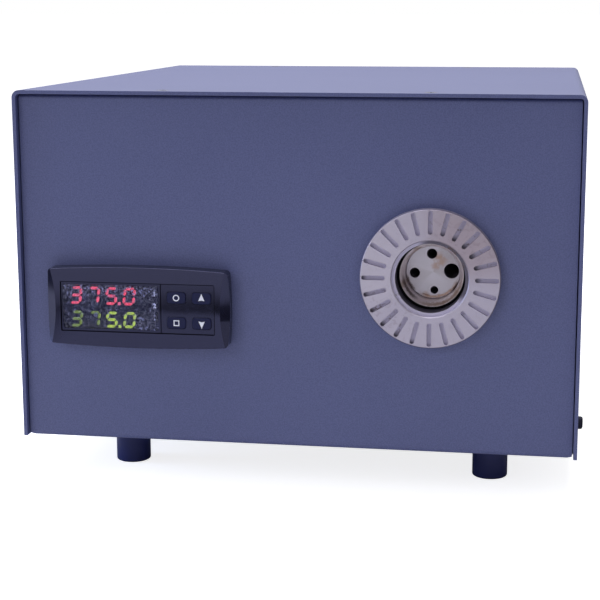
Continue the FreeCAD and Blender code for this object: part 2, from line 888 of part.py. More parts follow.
def rear_insulator():
    """The rigid disc behind the block, with holes for the tails."""
    disc = rod_y(can_inner - fit_clearance, well_x, well_z, block_end, can_end)
    tools = [rod_y(heater_radius + fit_clearance, x, z, block_end, can_end)
             for x, z in heater_places]
    tools.append(rod_y(sensor_radius + fit_clearance, *sensor_place, block_end, can_end))
    return disc.cut(tools)


def heat_can():
    """The can round the insulation, open to the front, with a rim to rivet it by."""
    body = turned([(can_back_opening, can_end), (can_inner, can_end), (can_inner, can_front),
                   (can_radius + can_flange, can_front),
                   (can_radius + can_flange, can_front + can_wall),
                   (can_radius, can_front + can_wall),
                   (can_radius, can_back), (can_back_opening, can_back)], well_x, well_z)
    holes = [rod_y(rivet_radius + fit_clearance, x, z, can_front, can_front + can_wall)
             for x, z in rivet_places]
    return body.cut(holes)


def bulkhead(y, opening, riveted):
    """An upright sheet with a folded foot and a round opening."""
    x0 = well_x - bulkhead_half
    x1 = well_x + bulkhead_half
    high = well_z + bulkhead_half
    along = Vector(1, 0, 0)
    outer = box(x0, x1, y, y + bulkhead_sheet + bulkhead_foot, floor_z, high)
    inner = box(x0, x1, y + bulkhead_sheet, y + bulkhead_sheet + bulkhead_foot,
                floor_z + bulkhead_sheet, high)
    outer = round_edges(outer, bulkhead_bend, along,
                        lambda m: m.z < floor_z + near and m.y < y + near)
    inner = round_edges(inner, bulkhead_inner_bend, along,
                        lambda m: m.z < floor_z + bulkhead_sheet + near
                        and m.y < y + bulkhead_sheet + near)
    tools = [rod_y(opening, well_x, well_z, y, y + bulkhead_sheet)]
    if riveted:
        tools += [rod_y(rivet_radius + fit_clearance, x, z, y, y + bulkhead_sheet)
                  for x, z in rivet_places]
    tools += [rod_z(small_screw_radius + thread_clearance, x, place_y, floor_z,
                    floor_z + bulkhead_sheet)
              for x, place_y in bulkhead_screw_places if y < place_y < y + bulkhead_foot]
    return outer.cut(inner).cut(tools)


def can_rivets():
    """Four rivets through the front bulkhead and the can's rim."""
    rivets = []
    for x, z in rivet_places:
        rivets.append(union([
            rod_y(rivet_head_radius, x, z, bulkhead_y - rivet_head_height, bulkhead_y),
            rod_y(rivet_radius, x, z, bulkhead_y, can_front + can_wall),
            rod_y(rivet_head_radius, x, z, can_front + can_wall,
                  can_front + can_wall + rivet_head_height),
        ]))
    return group(rivets)


def bulkhead_screws():
    """Screws from under the base into the bulkheads' feet."""
    screw = pan_screw(small_screw_radius, small_head_radius, small_head_height,
                      sheet + bulkhead_sheet + screw_end)
    return group([aim(screw, (x, y, base_z), (0, 0, -1)) for x, y in bulkhead_screw_places])


def heat_limiter():
    """The over-temperature cut-out on the back of the can."""
    z = well_z + limiter_height
    body = rod_y(limiter_radius, well_x, z, can_back, can_back + limiter_length)
    tabs = [block_at(well_x + side * limiter_tab_x, z, limiter_tab_thickness, limiter_tab_width,
                     can_back + limiter_length, can_back + limiter_length + limiter_tab_length)
            for side in (-1, 1)]
    return union([body] + tabs)


def fan_frame():
    """The fan's square housing, with struts to the motor plate."""
    body = rounded_block(well_x, well_z, fan_size, fan_size, fan_y, rear_inner, fan_corner)
    body = body.cut(rod_y(fan_bore_radius, well_x, well_z, fan_y, rear_inner))
    plate = rod_y(rotor_hub_radius, well_x, well_z, fan_y, fan_y + fan_plate)
    long_strut = block_at(well_x, well_z, 2 * fan_bore_radius + past, fan_strut, fan_y, fan_y + fan_plate)
    tall_strut = block_at(well_x, well_z, fan_strut, 2 * fan_bore_radius + past, fan_y, fan_y + fan_plate)
    bush_end = fan_y + fan_plate + shaft_length
    bush = rod_y(shaft_radius + fan_bush_wall, well_x, well_z, fan_y, bush_end)
    body = union([body, plate, long_strut, tall_strut, bush])
    tools = [rod_y(shaft_radius + running_clearance, well_x, well_z, fan_y, bush_end)]
    tools += [rod_y(small_screw_radius + thread_clearance, x, z, fan_y, rear_inner)
              for x, z in fan_corners]
    return body.cut(tools)


def fan_rotor():
    """Hub, blades and shaft of the fan, one moulding on its spindle."""
    start = fan_y + fan_plate + seat_gap
    end = start + rotor_length
    hub = rod_y(rotor_hub_radius, well_x, well_z, start, end)
    cup = rod_y(rotor_hub_radius - rotor_wall, well_x, well_z, start, end - rotor_wall)
    tip = fan_bore_radius - rotor_tip_gap
    middle = (start + end) / 2
    blades = []
    for i in range(blade_count):
        blade = Part.makeBox(blade_thickness, blade_chord, tip,
                             Vector(well_x - blade_thickness / 2, middle - blade_chord / 2, well_z))
        blade.rotate(Vector(well_x, middle, well_z), Vector(0, 0, 1), blade_pitch)
        blade.rotate(Vector(well_x, middle, well_z), Vector(0, 1, 0), i * 360.0 / blade_count)
        blades.append(blade)
    ring = tube_y(tip, rotor_hub_radius - blade_root, well_x, well_z, start, end)
    blades = [blade.common(ring) for blade in blades]
    shaft = rod_y(shaft_radius, well_x, well_z, fan_y + seat_gap, end)
    return union([hub.cut(cup), shaft] + blades)


def fan_guard():
    """The wire guard over the fan's opening: rings, four arms and their eyes."""
    half = guard_wire / 2
    arm_y = rear_y + guard_eye_thickness + half * guard_weld
    ring_y = arm_y + guard_wire * guard_weld
    diagonal = fan_hole_pitch / math.sqrt(2)
    arm_start = small_head_radius + seat_gap
    arm_end = guard_rings[0] - guard_wire
    wires = [Part.makeTorus(radius, half, Vector(well_x, ring_y, well_z), Vector(0, 1, 0))
             for radius in guard_rings]
    for x, z in fan_corners:
        eye = rod_y(guard_eye_radius, x, z, rear_y, rear_y + guard_eye_thickness)
        inward = Vector(well_x - x, 0, well_z - z)
        inward.normalize()
        start = Vector(x, arm_y, z) + inward * arm_start
        arm = Part.makeCylinder(half, diagonal - arm_start - arm_end, start, inward)
        wires += [eye, arm]
    holes = [rod_y(small_screw_radius + hole_clearance, x, z, rear_y, rear_y + guard_eye_thickness)
             for x, z in fan_corners]
    return union(wires).cut(holes)


def fan_screws():
    """Four screws through the guard's eyes into the fan frame."""
    screw = pan_screw(small_screw_radius, small_head_radius, small_head_height,
                      guard_eye_thickness + sheet + fan_screw_grip)
    return group([aim(screw, (x, rear_y + guard_eye_thickness, z), (0, 1, 0))
                  for x, z in fan_corners])


def inlet_body():
    """The appliance inlet with the pocket for its fuse drawer."""
    flange = rounded_block(inlet_x, inlet_z, inlet_width, inlet_flange_height,
                           rear_y, rear_y + inlet_flange, inlet_corner)
    body = block_at(inlet_x, inlet_z, inlet_body_width, inlet_body_height,
                    rear_inner - inlet_body_depth + sheet, rear_y + inlet_flange)
    mouth = rear_y + inlet_flange
    socket = round_edges(block_at(inlet_x, socket_z, socket_width, socket_height,
                                  mouth - socket_depth, mouth), inlet_corner, Vector(0, 1, 0),
                         lambda m: m.z > socket_z)
    pocket = block_at(inlet_x, drawer_z, drawer_width + 2 * fit_clearance,
                      drawer_height + 2 * fit_clearance, mouth - drawer_depth - fit_clearance, mouth)
    holes = [rod_y(small_screw_radius + hole_clearance, x, inlet_z, rear_y, mouth)
             for x in inlet_screw_xs]
    return union([flange, body]).cut([socket, pocket] + holes)


def inlet_pins():
    """The three flat pins of the inlet, standing on the socket's floor."""
    floor = rear_y + inlet_flange - socket_depth
    places = [(-pin_spacing, pin_offset), (pin_spacing, pin_offset), (0, -pin_offset)]
    return group([block_at(inlet_x + dx, socket_z + dz, pin_width, pin_height,
                           floor, floor + pin_length) for dx, dz in places])


def fuse_drawer():
    """The drawer under the socket, with a trough for its fuse."""
    mouth = rear_y + inlet_flange
    tray = block_at(inlet_x, drawer_z, drawer_width, drawer_height, mouth - drawer_depth, mouth)
    lip = block_at(inlet_x, drawer_z, drawer_width, drawer_height, mouth, mouth + drawer_lip)
    middle = mouth - drawer_depth / 2
    bed = rod_x(fuse_radius + fit_clearance, middle, drawer_z,
                inlet_x - fuse_length / 2 - fit_clearance, inlet_x + fuse_length / 2 + fit_clearance)
    access = box(inlet_x - fuse_length / 2 - fit_clearance, inlet_x + fuse_length / 2 + fit_clearance,
                 middle - fuse_radius - fit_clearance, middle + fuse_radius + fit_clearance,
                 drawer_z, drawer_z + drawer_height / 2)
    return union([tray, lip]).cut([bed, access])


def fuse():
    """The cartridge fuse in the drawer."""
    middle = rear_y + inlet_flange - drawer_depth / 2
    return rod_x(fuse_radius, middle, drawer_z, inlet_x - fuse_length / 2, inlet_x + fuse_length / 2)


def inlet_screws():
    """Two screws beside the inlet."""
    screw = pan_screw(small_screw_radius, small_head_radius, small_head_height,
                      inlet_flange + sheet + inlet_screw_end)
    return group([aim(screw, (x, rear_y + inlet_flange, inlet_z), (0, 1, 0)) for x in inlet_screw_xs])


def rocker_frame():
    """The power switch's body with the well that its rocker sits in."""
    mouth = rear_y + rocker_flange
    flange = rounded_block(inlet_x, rocker_z, rocker_flange_width, rocker_flange_height,
                           rear_y, mouth, rocker_corner)
    body = block_at(inlet_x, rocker_z, rocker_body_width, rocker_body_height,
                    mouth - rocker_body_depth, mouth)
    well = block_at(inlet_x, rocker_z, rocker_width + 2 * rocker_play,
                    rocker_length + 4 * rocker_play, mouth - rocker_room, mouth)
    pivot = rod_x(rocker_pin_radius + running_clearance, mouth, rocker_z,
                  inlet_x - rocker_width / 2 - rocker_play - rocker_pin_length,
                  inlet_x + rocker_width / 2 + rocker_play + rocker_pin_length)
    pivot.translate(Vector(0, -rocker_depth / 2, 0))
    return union([flange, body]).cut([well, pivot])


def power_rocker():
    """The rocker, pressed in at its upper end."""
    mouth = rear_y + rocker_flange
    pivot_y = mouth - rocker_depth / 2
    half = rocker_length / 2
    outline = [(mouth - rocker_depth, rocker_z - half * rocker_waist),
               (mouth + rocker_rise, rocker_z - half), (mouth + rocker_dip, rocker_z),
               (mouth + rocker_rise, rocker_z + half),
               (mouth - rocker_depth, rocker_z + half * rocker_waist)]
    paddle = prism_x(outline, inlet_x - rocker_width / 2, inlet_x + rocker_width / 2)
    pin_half = rocker_width / 2 + rocker_play + rocker_pin_length - fit_clearance
    pin = rod_x(rocker_pin_radius, pivot_y, rocker_z, inlet_x - pin_half, inlet_x + pin_half)
    rocker = union([paddle, pin])
    rocker.rotate(Vector(inlet_x, pivot_y, rocker_z), Vector(1, 0, 0), rocker_tilt)
    return rocker


def relay():
    """The solid state relay on the base, with its four terminal posts."""
    body = box(relay_x - relay_width / 2, relay_x + relay_width / 2, relay_y, relay_y + relay_length,
               floor_z, floor_z + relay_height)
    notch = relay_length / 2 - relay_slot / 2 + small_head_radius + relay_head_room
    for y0, y1 in ((relay_y, relay_y + notch), (relay_y + relay_length - notch, relay_y + relay_length)):
        body = body.cut(box(relay_x - notch, relay_x + notch, y0, y1,
                            floor_z + relay_ear, floor_z + relay_height))
    post_x = relay_width / 2 - relay_post_inset
    post_y = relay_length / 2 - relay_post_inset
    top = floor_z + relay_height
    posts = [rod_z(relay_post_radius, relay_x + i * post_x, relay_y + relay_length / 2 + j * post_y,
                   top, top + relay_post_height)
             for i in (-1, 1) for j in (-1, 1)]
    body = union([body] + posts)
    return body.cut([rod_z(small_screw_radius + thread_clearance, x, y, floor_z, floor_z + relay_ear)
                     for x, y in relay_screw_places])


def relay_screws():
    """Two screws that hold the relay down."""
    screw = pan_screw(small_screw_radius, small_head_radius, small_head_height,
                      relay_ear + sheet + screw_end)
    return group([aim(screw, (x, y, floor_z + relay_ear), (0, 0, 1)) for x, y in relay_screw_places])


def terminal_xs():
    """The middles of the terminal block's ways."""
    return [terminal_x + (i - (terminal_ways - 1) / 2) * terminal_pitch for i in range(terminal_ways)]


def terminal_screw_ys():
    """The two rows of clamping screws on the terminal block."""
    return [terminal_y + terminal_screw_inset, terminal_y + terminal_width - terminal_screw_inset]


def terminal_block():
    """The block where the mains leads join."""
    half = terminal_ways * terminal_pitch / 2
    body = box(terminal_x - half, terminal_x + half, terminal_y, terminal_y + terminal_width,
               floor_z, floor_z + terminal_height)
    top = floor_z + terminal_height
    return body.cut([rod_z(terminal_screw_radius + fit_clearance, x, y, top - terminal_screw_depth, top)
                     for x in terminal_xs() for y in terminal_screw_ys()])


def terminal_screws():
    """The clamping screws in the terminal block."""
    top = floor_z + terminal_height
    return group([rod_z(terminal_screw_radius, x, y, top - terminal_screw_depth,
                        top - terminal_screw_sink)
                  for x in terminal_xs() for y in terminal_screw_ys()])


def earth_stud():
    """The protective earth stud, pressed through the base."""
    stud = rod_z(foot_screw_radius, earth_x, earth_y, base_z, floor_z + earth_length)
    collar = rod_z(foot_screw_radius + earth_rim, earth_x, earth_y, floor_z, floor_z + earth_collar)
    return union([stud, collar])


def bezel_outline():
    """An oblong whose four edges bow outwards, as a wire at the bezel's back."""
    wide = bezel_width / 2
    tall = bezel_height / 2
    corners = [Vector(control_x + i * (wide - bezel_end_bow), bezel_back,
                      control_z + j * (tall - bezel_bow))
               for i, j in ((-1, -1), (1, -1), (1, 1), (-1, 1))]
    middles = [Vector(control_x + i * wide, bezel_back, control_z + j * tall)
               for i, j in ((0, -1), (1, 0), (0, 1), (-1, 0))]
    return Part.Wire([Part.Arc(start, middle, end).toShape()
                      for start, middle, end in zip(corners, middles, corners[1:] + corners[:1])])


def controller_bezel():
    """The bezel: bowed outline, scooped ends, an opening and a cavity behind it."""
    face = Part.Face(bezel_outline())
    body = face.extrude(Vector(0, -bezel_depth, 0))
    body = round_edges(body, bezel_corner, Vector(0, 1, 0))
    rim = [e for e in body.Edges if e.BoundBox.YMax < bezel_face + near]
    body = body.makeFillet(bezel_edge, rim)
    lean = math.tan(math.radians(scoop_tilt))
    half_span = scoop_radius / math.cos(math.radians(scoop_tilt))
    reach = scoop_radius + bezel_depth
    for side in (-1, 1):
        x = control_x + side * (bezel_width / 2 + half_span - scoop_reach)
        start = Vector(x - side * reach * lean, bezel_face - reach, control_z)
        axis = Vector(side * lean, 1, 0)
        body = body.cut(Part.makeCylinder(scoop_radius, 2 * axis.Length * reach, start, axis))
    opening = rounded_block(control_x, control_z, fascia_width + 2 * fit_clearance,
                            fascia_height + 2 * fit_clearance, bezel_face - past, fascia_back,
                            fascia_corner)
    step = block_at(control_x, control_z, fascia_width - 2 * fascia_ledge,
                    fascia_height - 2 * fascia_ledge, fascia_back, fascia_back + ledge_thickness)
    cavity = block_at(control_x, control_z, bezel_width - 2 * bezel_wall,
                      bezel_height - 2 * bezel_wall, fascia_back + ledge_thickness, bezel_back)
    return body.cut([opening, step, cavity])


def controller_gasket():
    """The flat gasket between bezel and panel."""
    sheet_block = rounded_block(control_x, control_z,
                                bezel_width - 2 * (bezel_end_bow + gasket_inset),
                                bezel_height - 2 * bezel_bow, bezel_back, panel_y, bezel_corner)
    return sheet_block.cut(block_at(control_x, control_z, cutout_width, cutout_height,
                                    bezel_back, panel_y))


def display_place():
    """The middle of the display's window."""
    return control_x + window_x, control_z


def controller_fascia():
    """The gloss plate with the window opening, the key holes and a seam between them."""
    plate = rounded_block(control_x, control_z, fascia_width, fascia_height,
                          fascia_y, fascia_back, fascia_corner)
    x, z = display_place()
    tools = [rounded_block(x, z, window_width, window_height, fascia_y, fascia_back, window_corner),
             block_at(control_x + seam_x, control_z, seam_width, fascia_height,
                      fascia_y, fascia_y + seam_depth)]
    for kx in key_x:
        for kz in key_z:
            tools.append(rounded_block(control_x + kx, control_z + kz,
                                       key_width + 2 * key_hole_clearance,
                                       key_height + 2 * key_hole_clearance,
                                       fascia_y, fascia_back, key_corner))
    return plate.cut(tools)


def display_window():
    """The clear pane in the fascia."""
    x, z = display_place()
    return rounded_block(x, z, window_width - 2 * fit_clearance, window_height - 2 * fit_clearance,
                         fascia_y, fascia_y + window_thickness, window_corner)


def display_module():
    """The dark display body behind the fascia."""
    x, z = display_place()
    return block_at(x, z, window_width + 2 * display_overlap, window_height + 2 * display_overlap,
                    fascia_back, display_back)


lit_segments = {
    "0": "abcdef",
    "3": "abcdg",
    "5": "acdfg",
    "7": "abc",
}


def segment(name, height):
    """The outline of one bar of a digit, as (x, z) points about the digit's middle."""
    wide = digit_width - digit_stroke
    tall = height - digit_stroke
    middles = {"a": (0, tall / 2), "g": (0, 0), "d": (0, -tall / 2),
               "f": (-wide / 2, tall / 4), "b": (wide / 2, tall / 4),
               "e": (-wide / 2, -tall / 4), "c": (wide / 2, -tall / 4)}
    x, z = middles[name]
    half = digit_stroke / 2
    if name in "adg":
        end = wide / 2 - digit_gap
        bar = [(-end, 0), (-end + half, half), (end - half, half),
               (end, 0), (end - half, -half), (-end + half, -half)]
    else:
        end = tall / 4 - digit_gap
        bar = [(0, -end), (half, -end + half), (half, end - half),
               (0, end), (-half, end - half), (-half, -end + half)]
    return [(x + bx, z + bz) for bx, bz in bar]


def digits(text, height, row_z):
    """A row of slanted digits on the display; a point follows the third one."""
    slant = math.tan(math.radians(digit_slant))
    y1 = fascia_back
    y0 = fascia_back - digit_relief
    solids = []
    for place, character in enumerate(text):
        x = control_x + digit_first_x + place * digit_pitch
        z = control_z + row_z
        for name in lit_segments[character]:
            outline = [(x + px + pz * slant, z + pz) for px, pz in segment(name, height)]
            solids.append(prism_y(outline, y0, y1))
    point_x = control_x + digit_first_x + (len(text) - 1.5) * digit_pitch - height / 2 * slant
    point_z = control_z + row_z - height / 2 + point_size / 2
    solids.append(block_at(point_x, point_z, point_size, point_size, y0, y1))
    return group(solids)


def indicator_marks():
    """Three small indicator dots beside the digits."""
    marks = [level * window_height / 2 for level in mark_levels]
    return group([block_at(control_x + mark_x, control_z + dz, mark_size, mark_size,
                           fascia_back - digit_relief, fascia_back) for dz in marks])


def key(kx, kz):
    """A rubber key: a cap through the fascia and a lip behind it."""
    x = control_x + kx
    z = control_z + kz
    top = fascia_y - key_proud
    cap = rounded_block(x, z, key_width, key_height, top, fascia_back + seat_gap, key_corner)
    rim = [e for e in cap.Edges if e.BoundBox.YMax < top + near]
    cap = cap.makeFillet(key_edge, rim)
    lip = block_at(x, z, key_width + 2 * key_lip, key_height + 2 * key_lip,
                   fascia_back + seat_gap, fascia_back + seat_gap + key_lip_thickness)
    return union([cap, lip])


def display_board():
    """The board behind the display, with a small switch under each key."""
    board = block_at(control_x, control_z, case_width_inside, case_height_inside,
                     display_back, board_back)
    switch_front = fascia_back + seat_gap + key_lip_thickness + key_travel + switch_gap
    switches = [block_at(control_x + kx, control_z + kz, switch_size, switch_size,
                         switch_front, display_back) for kx in key_x for kz in key_z]
    return union([board] + switches)


def controller_case():
    """The long box behind the panel, its front end inside the bezel."""
    shell = block_at(control_x, control_z, case_width_inside, case_height_inside, board_back, case_end)
    return shell.cut(block_at(control_x, control_z, case_width_inside - 2 * case_wall,
                              case_height_inside - 2 * case_wall, board_back, case_end))


def controller_terminals():
    """The terminal strip that closes the case's back end."""
    strip = block_at(control_x, control_z, case_width_inside, case_height_inside,
                     case_end, case_end + strip_depth)
    tools = []
    pitch = (case_width_inside - 2 * strip_margin) / strip_ways
    for i in range(strip_ways):
        x = control_x + (i - (strip_ways - 1) / 2) * pitch
        tools.append(block_at(x, control_z + case_height_inside / 4, strip_slot, strip_slot,
                              case_end + strip_depth / 2, case_end + strip_depth))
    return strip.cut(tools)


def controller_clamps():
    """The two clamps that pull the case against the panel's back."""
    clamps = []
    for side in (-1, 1):
        x = control_x + side * (case_width_inside / 2 + clamp_thickness / 2)
        clamps.append(block_at(x, control_z, clamp_thickness, clamp_height,
                               panel_back, panel_back + clamp_length))
    return group(clamps)


def power_board():
    """The controller's power board, standing on the case's floor."""
    low = control_z - case_height_inside / 2 + case_wall
    half = case_width_inside / 2 - case_wall - power_board_margin
    start = board_back + power_board_gap
    board = box(control_x - half, control_x + half,
                start, start + power_board_length, low, low + board_thickness)
    top = low + board_thickness
    transformer = box(control_x + transformer_x - transformer_width / 2,
                      control_x + transformer_x + transformer_width / 2,
                      start + transformer_start, start + transformer_start + transformer_length,
                      top, top + transformer_height)
    capacitor = rod_z(capacitor_radius, control_x + capacitor_x, start + capacitor_y,
                      top, top + capacitor_height)
    return union([board, transformer, capacitor])


def supply_lead():
    """The lead from the back of the inlet to the terminal block."""
    start_y = rear_inner - inlet_body_depth + sheet
    end_y = terminal_y + terminal_width
    end_z = floor_z + supply_entry_height
    middle_y = (start_y + end_y) / 2
    return lead([(inlet_x, start_y, inlet_z), (inlet_x, middle_y, inlet_z),
                 (terminal_x, middle_y, end_z), (terminal_x, end_y, end_z)], lead_radius)


def mains_leads():
    """The supply lead and the heaters' leads, which end at the terminal block."""
    leads = [supply_lead()]
    start_y = can_back + tail_length
    end_x = terminal_x + terminal_ways * terminal_pitch / 2
    end_z = floor_z + heater_entry_height
    for i, (x, z) in enumerate(heater_places):
        run_y = terminal_y + (i + 1) * terminal_width / 3
        leads.append(lead([(x, start_y, z), (x, run_y, z), (x, run_y, end_z),
                           (end_x, run_y, end_z)], lead_radius))
    return group(leads)


def sensor_lead():
    """The lead from the sensor's tail to the controller's terminals."""
    x, z = sensor_place
    start_y = can_back + tail_length
    turn_y = start_y + sensor_lead_turn
    goal_y = case_end + strip_depth
    side_x = well_x - bulkhead_half - sensor_lead_side
    goal_x = control_x + strip_entry_x
    goal_z = control_z - strip_entry_drop
    return lead([(x, start_y, z), (x, turn_y, z), (side_x, turn_y, z),
                 (side_x, goal_y + sensor_lead_slack, z),
                 (goal_x, goal_y + strip_lead_start, goal_z),
                 (goal_x, goal_y, goal_z)], sensor_lead_radius)


def control_lead():
    """The lead from the controller's terminals to the relay."""
    goal_y = case_end + strip_depth
    x = control_x - strip_entry_x
    z = control_z - strip_entry_drop
    low = floor_z + relay_entry_height
    return lead([(x, goal_y, z), (x, goal_y + control_lead_run, z),
                 (x, relay_y - control_lead_run, low), (x, relay_y, low)], sensor_lead_radius)


def signal_leads():
    """The thin leads that end at the controller's terminals."""
    return group([sensor_lead(), control_lead()])


def pieces():
    """Every piece of the instrument by name."""
    made = {"cover": cover(), "chassis": chassis()}
    for name, place in foot_places.items():
        made["foot_" + name] = foot(*place)
    made["foot_screws"] = foot_screws()
    made["base_nuts"] = base_nuts()
    made["cover_screws"] = cover_screws()
    made["side_screws"] = side_screws()
    made["well_plate"] = well_plate()
    made["plate_ring_nut"] = plate_ring_nut()
    made["heating_block"] = heating_block()
    made["probe_insert"] = probe_insert()
    made["heaters"] = heaters()
    made["control_sensor"] = control_sensor()
    made["front_insulator"] = front_insulator()
    made["insulation_sleeve"] = insulation_sleeve()
    made["rear_insulator"] = rear_insulator()
    made["heat_can"] = heat_can()
    made["front_bulkhead"] = bulkhead(bulkhead_y, bulkhead_opening, True)
    made["rear_bulkhead"] = bulkhead(rear_bulkhead_y, can_radius + fit_clearance, False)
    made["can_rivets"] = can_rivets()
    made["bulkhead_screws"] = bulkhead_screws()
    made["heat_limiter"] = heat_limiter()
    made["fan_frame"] = fan_frame()
    made["fan_rotor"] = fan_rotor()
    made["fan_guard"] = fan_guard()
    made["fan_screws"] = fan_screws()
    made["inlet_body"] = inlet_body()
    made["inlet_pins"] = inlet_pins()
    made["fuse_drawer"] = fuse_drawer()
    made["fuse"] = fuse()
    made["inlet_screws"] = inlet_screws()
    made["rocker_frame"] = rocker_frame()
    made["power_rocker"] = power_rocker()
    made["relay"] = relay()
    made["relay_screws"] = relay_screws()
    made["terminal_block"] = terminal_block()
    made["terminal_screws"] = terminal_screws()
    made["earth_stud"] = earth_stud()
    made["controller_bezel"] = controller_bezel()
    made["controller_gasket"] = controller_gasket()
    made["controller_fascia"] = controller_fascia()
    made["display_window"] = display_window()
    made["display_module"] = display_module()
    made["upper_digits"] = digits("3750", upper_digit_height, upper_digit_z)
    made["lower_digits"] = digits("3750", lower_digit_height, lower_digit_z)
    made["indicator_marks"] = indicator_marks()
    names = {(0, 0): "key_set", (1, 0): "key_up", (0, 1): "key_mode", (1, 1): "key_down"}
    for (i, j), name in names.items():
        made[name] = key(key_x[i], key_z[j])
    made["display_board"] = display_board()
    made["controller_case"] = controller_case()
    made["controller_terminals"] = controller_terminals()
    made["controller_clamps"] = controller_clamps()
    made["power_board"] = power_board()
    made["mains_leads"] = mains_leads()
    made["signal_leads"] = signal_leads()
    return made


def main():
    """Centre the pieces over the origin and write one file for each."""
    os.makedirs("parts", exist_ok=True)
    made = pieces()
    bounds = [shape.BoundBox for shape in made.values()]
    middle = (min(b.YMin for b in bounds) + max(b.YMax for b in bounds)) / 2
    for name, shape in made.items():
        shape.translate(Vector(0, -middle, 0))
        if not shape.isValid() or shape.Volume <= 0:
            print("not a valid solid:", name)
        shape.exportStep("parts/" + name + ".step")
    print(len(made), "pieces; y moved by", round(-middle, 4))


main()
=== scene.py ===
# %% [markdown]
# A bench dry well, dressed.
# The packed model already holds every solid at its real size. This lesson gives each one
# the finish that the real instrument shows: powder coat on folded sheet, turned and heat
# stained metal round the well, gloss black plastic and lit digits on the controller.
# It also adds the thin things that a solid model leaves out, such as printed symbols.

import json
import math

import bpy
from mathutils import Matrix, Vector


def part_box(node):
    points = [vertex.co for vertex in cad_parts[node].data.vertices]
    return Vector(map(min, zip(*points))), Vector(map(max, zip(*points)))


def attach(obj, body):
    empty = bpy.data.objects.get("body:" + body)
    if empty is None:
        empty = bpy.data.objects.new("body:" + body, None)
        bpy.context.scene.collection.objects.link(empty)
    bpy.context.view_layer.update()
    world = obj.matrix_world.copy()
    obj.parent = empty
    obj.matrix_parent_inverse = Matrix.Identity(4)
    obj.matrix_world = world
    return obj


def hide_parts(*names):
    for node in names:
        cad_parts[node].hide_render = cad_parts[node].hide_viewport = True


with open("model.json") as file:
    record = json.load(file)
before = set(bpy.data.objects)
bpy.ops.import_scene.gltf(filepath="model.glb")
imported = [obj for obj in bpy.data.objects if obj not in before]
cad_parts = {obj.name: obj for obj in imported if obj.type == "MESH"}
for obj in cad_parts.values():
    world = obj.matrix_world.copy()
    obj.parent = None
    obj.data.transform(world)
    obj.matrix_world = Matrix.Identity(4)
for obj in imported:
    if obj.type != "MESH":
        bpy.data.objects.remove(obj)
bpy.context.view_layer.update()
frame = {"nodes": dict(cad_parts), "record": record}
nodes = frame["nodes"]
MM = 0.001
print("solids loaded:", len(nodes))

# %% [markdown]
# A few places are needed again and again, and all of them are read from the solids: the
# axis of the well, the plane of the controller's face and the middle of its fascia.

# %% Measure the places that the finishes are centred on


def middle(name):
    """The middle of a solid's box."""
    low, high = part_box(name)
    return (low + high) / 2


def size(name):
    """The length of a solid's box along each axis."""
    low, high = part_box(name)
    return high - low


well_centre = middle("well_plate")
plate_radius = size("well_plate").x / 2
plate_face_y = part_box("well_plate")[0].y
fascia_centre = middle("controller_fascia")
bezel_face_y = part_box("controller_bezel")[0].y
print("well axis at x, z:", round(well_centre.x, 4), round(well_centre.z, 4))
print("fascia middle at x, z:", round(fascia_centre.x, 4), round(fascia_centre.z, 4))

# %% [markdown]
# The photograph was taken from a little above and to the right with a long lens, so the
# verticals hardly converge. The camera's place, turn and lens were worked out from the
# corners of the front panel and the cover. The principal point lies off the middle of the
# picture, which is a small shift.

# %% Place the camera
IMAGE = 600
SENSOR = 36.0
NEAR_CLIP = 0.01
FOCAL_PIXELS = 1482.49
PRINCIPAL = (320.0, 280.0)
CAMERA_BEFORE_COVER = 0.576847
CAMERA_X = 0.102034
CAMERA_Z = 0.197812
TURN_DEGREES = (-10.4159, 0.0248, 8.9244)


def camera_turn(degrees):
    """The camera's rotation: first pitch, then roll, then heading."""
    pitch, roll, heading = (math.radians(d) for d in degrees)
    turn = (Matrix.Rotation(heading, 3, "Z") @ Matrix.Rotation(roll, 3, "Y")
            @ Matrix.Rotation(pitch, 3, "X"))
    right, forward, up = turn.col[0], turn.col[1], turn.col[2]
    return Matrix((right, up, -forward)).transposed()


lens = bpy.data.cameras.new("photo_camera")
lens.sensor_width = SENSOR
lens.lens = FOCAL_PIXELS / IMAGE * SENSOR
lens.shift_x = (IMAGE / 2 - PRINCIPAL[0]) / IMAGE
lens.shift_y = (PRINCIPAL[1] - IMAGE / 2) / IMAGE
lens.clip_start = NEAR_CLIP
camera = bpy.data.objects.new("photo_camera", lens)
camera_place = Vector((CAMERA_X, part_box("cover")[0].y - CAMERA_BEFORE_COVER, CAMERA_Z))
camera.matrix_world = Matrix.Translation(camera_place) @ camera_turn(TURN_DEGREES).to_4x4()
bpy.context.scene.collection.objects.link(camera)
bpy.context.scene.camera = camera
print("lens", round(lens.lens, 2), "mm")

# %% [markdown]
# The object was shot on white. What lights it is a dim even sky and four soft lamps. The
# strongest hangs overhead, because the top of the case is lit half as much again as its
# front. The second comes from the left in front, a faint one from the right, and a bluish one
# stands low on the left. They are weak enough that a colour renders about as it is written.

# %% Hang the lamps
CASE_MIDDLE = (0.0, 0.0, 0.09)
PLAIN_LIGHT = (1.0, 1.0, 1.0)
BLUISH_LIGHT = (0.5, 0.66, 1.0)
# Each lamp's place and width in metres, its power in watts and its colour.
LAMPS = {
    "lamp_overhead": ((-0.15, 0.05, 1.3), 0.9, 17.4, PLAIN_LIGHT),
    "lamp_left_front": ((-1.0, -1.2, 0.9), 0.7, 5.0, PLAIN_LIGHT),
    "lamp_right": ((1.1, -0.7, 0.8), 0.6, 0.3, PLAIN_LIGHT),
    "lamp_low_left": ((-1.4, -0.2, 0.3), 0.5, 9.0, BLUISH_LIGHT),
}


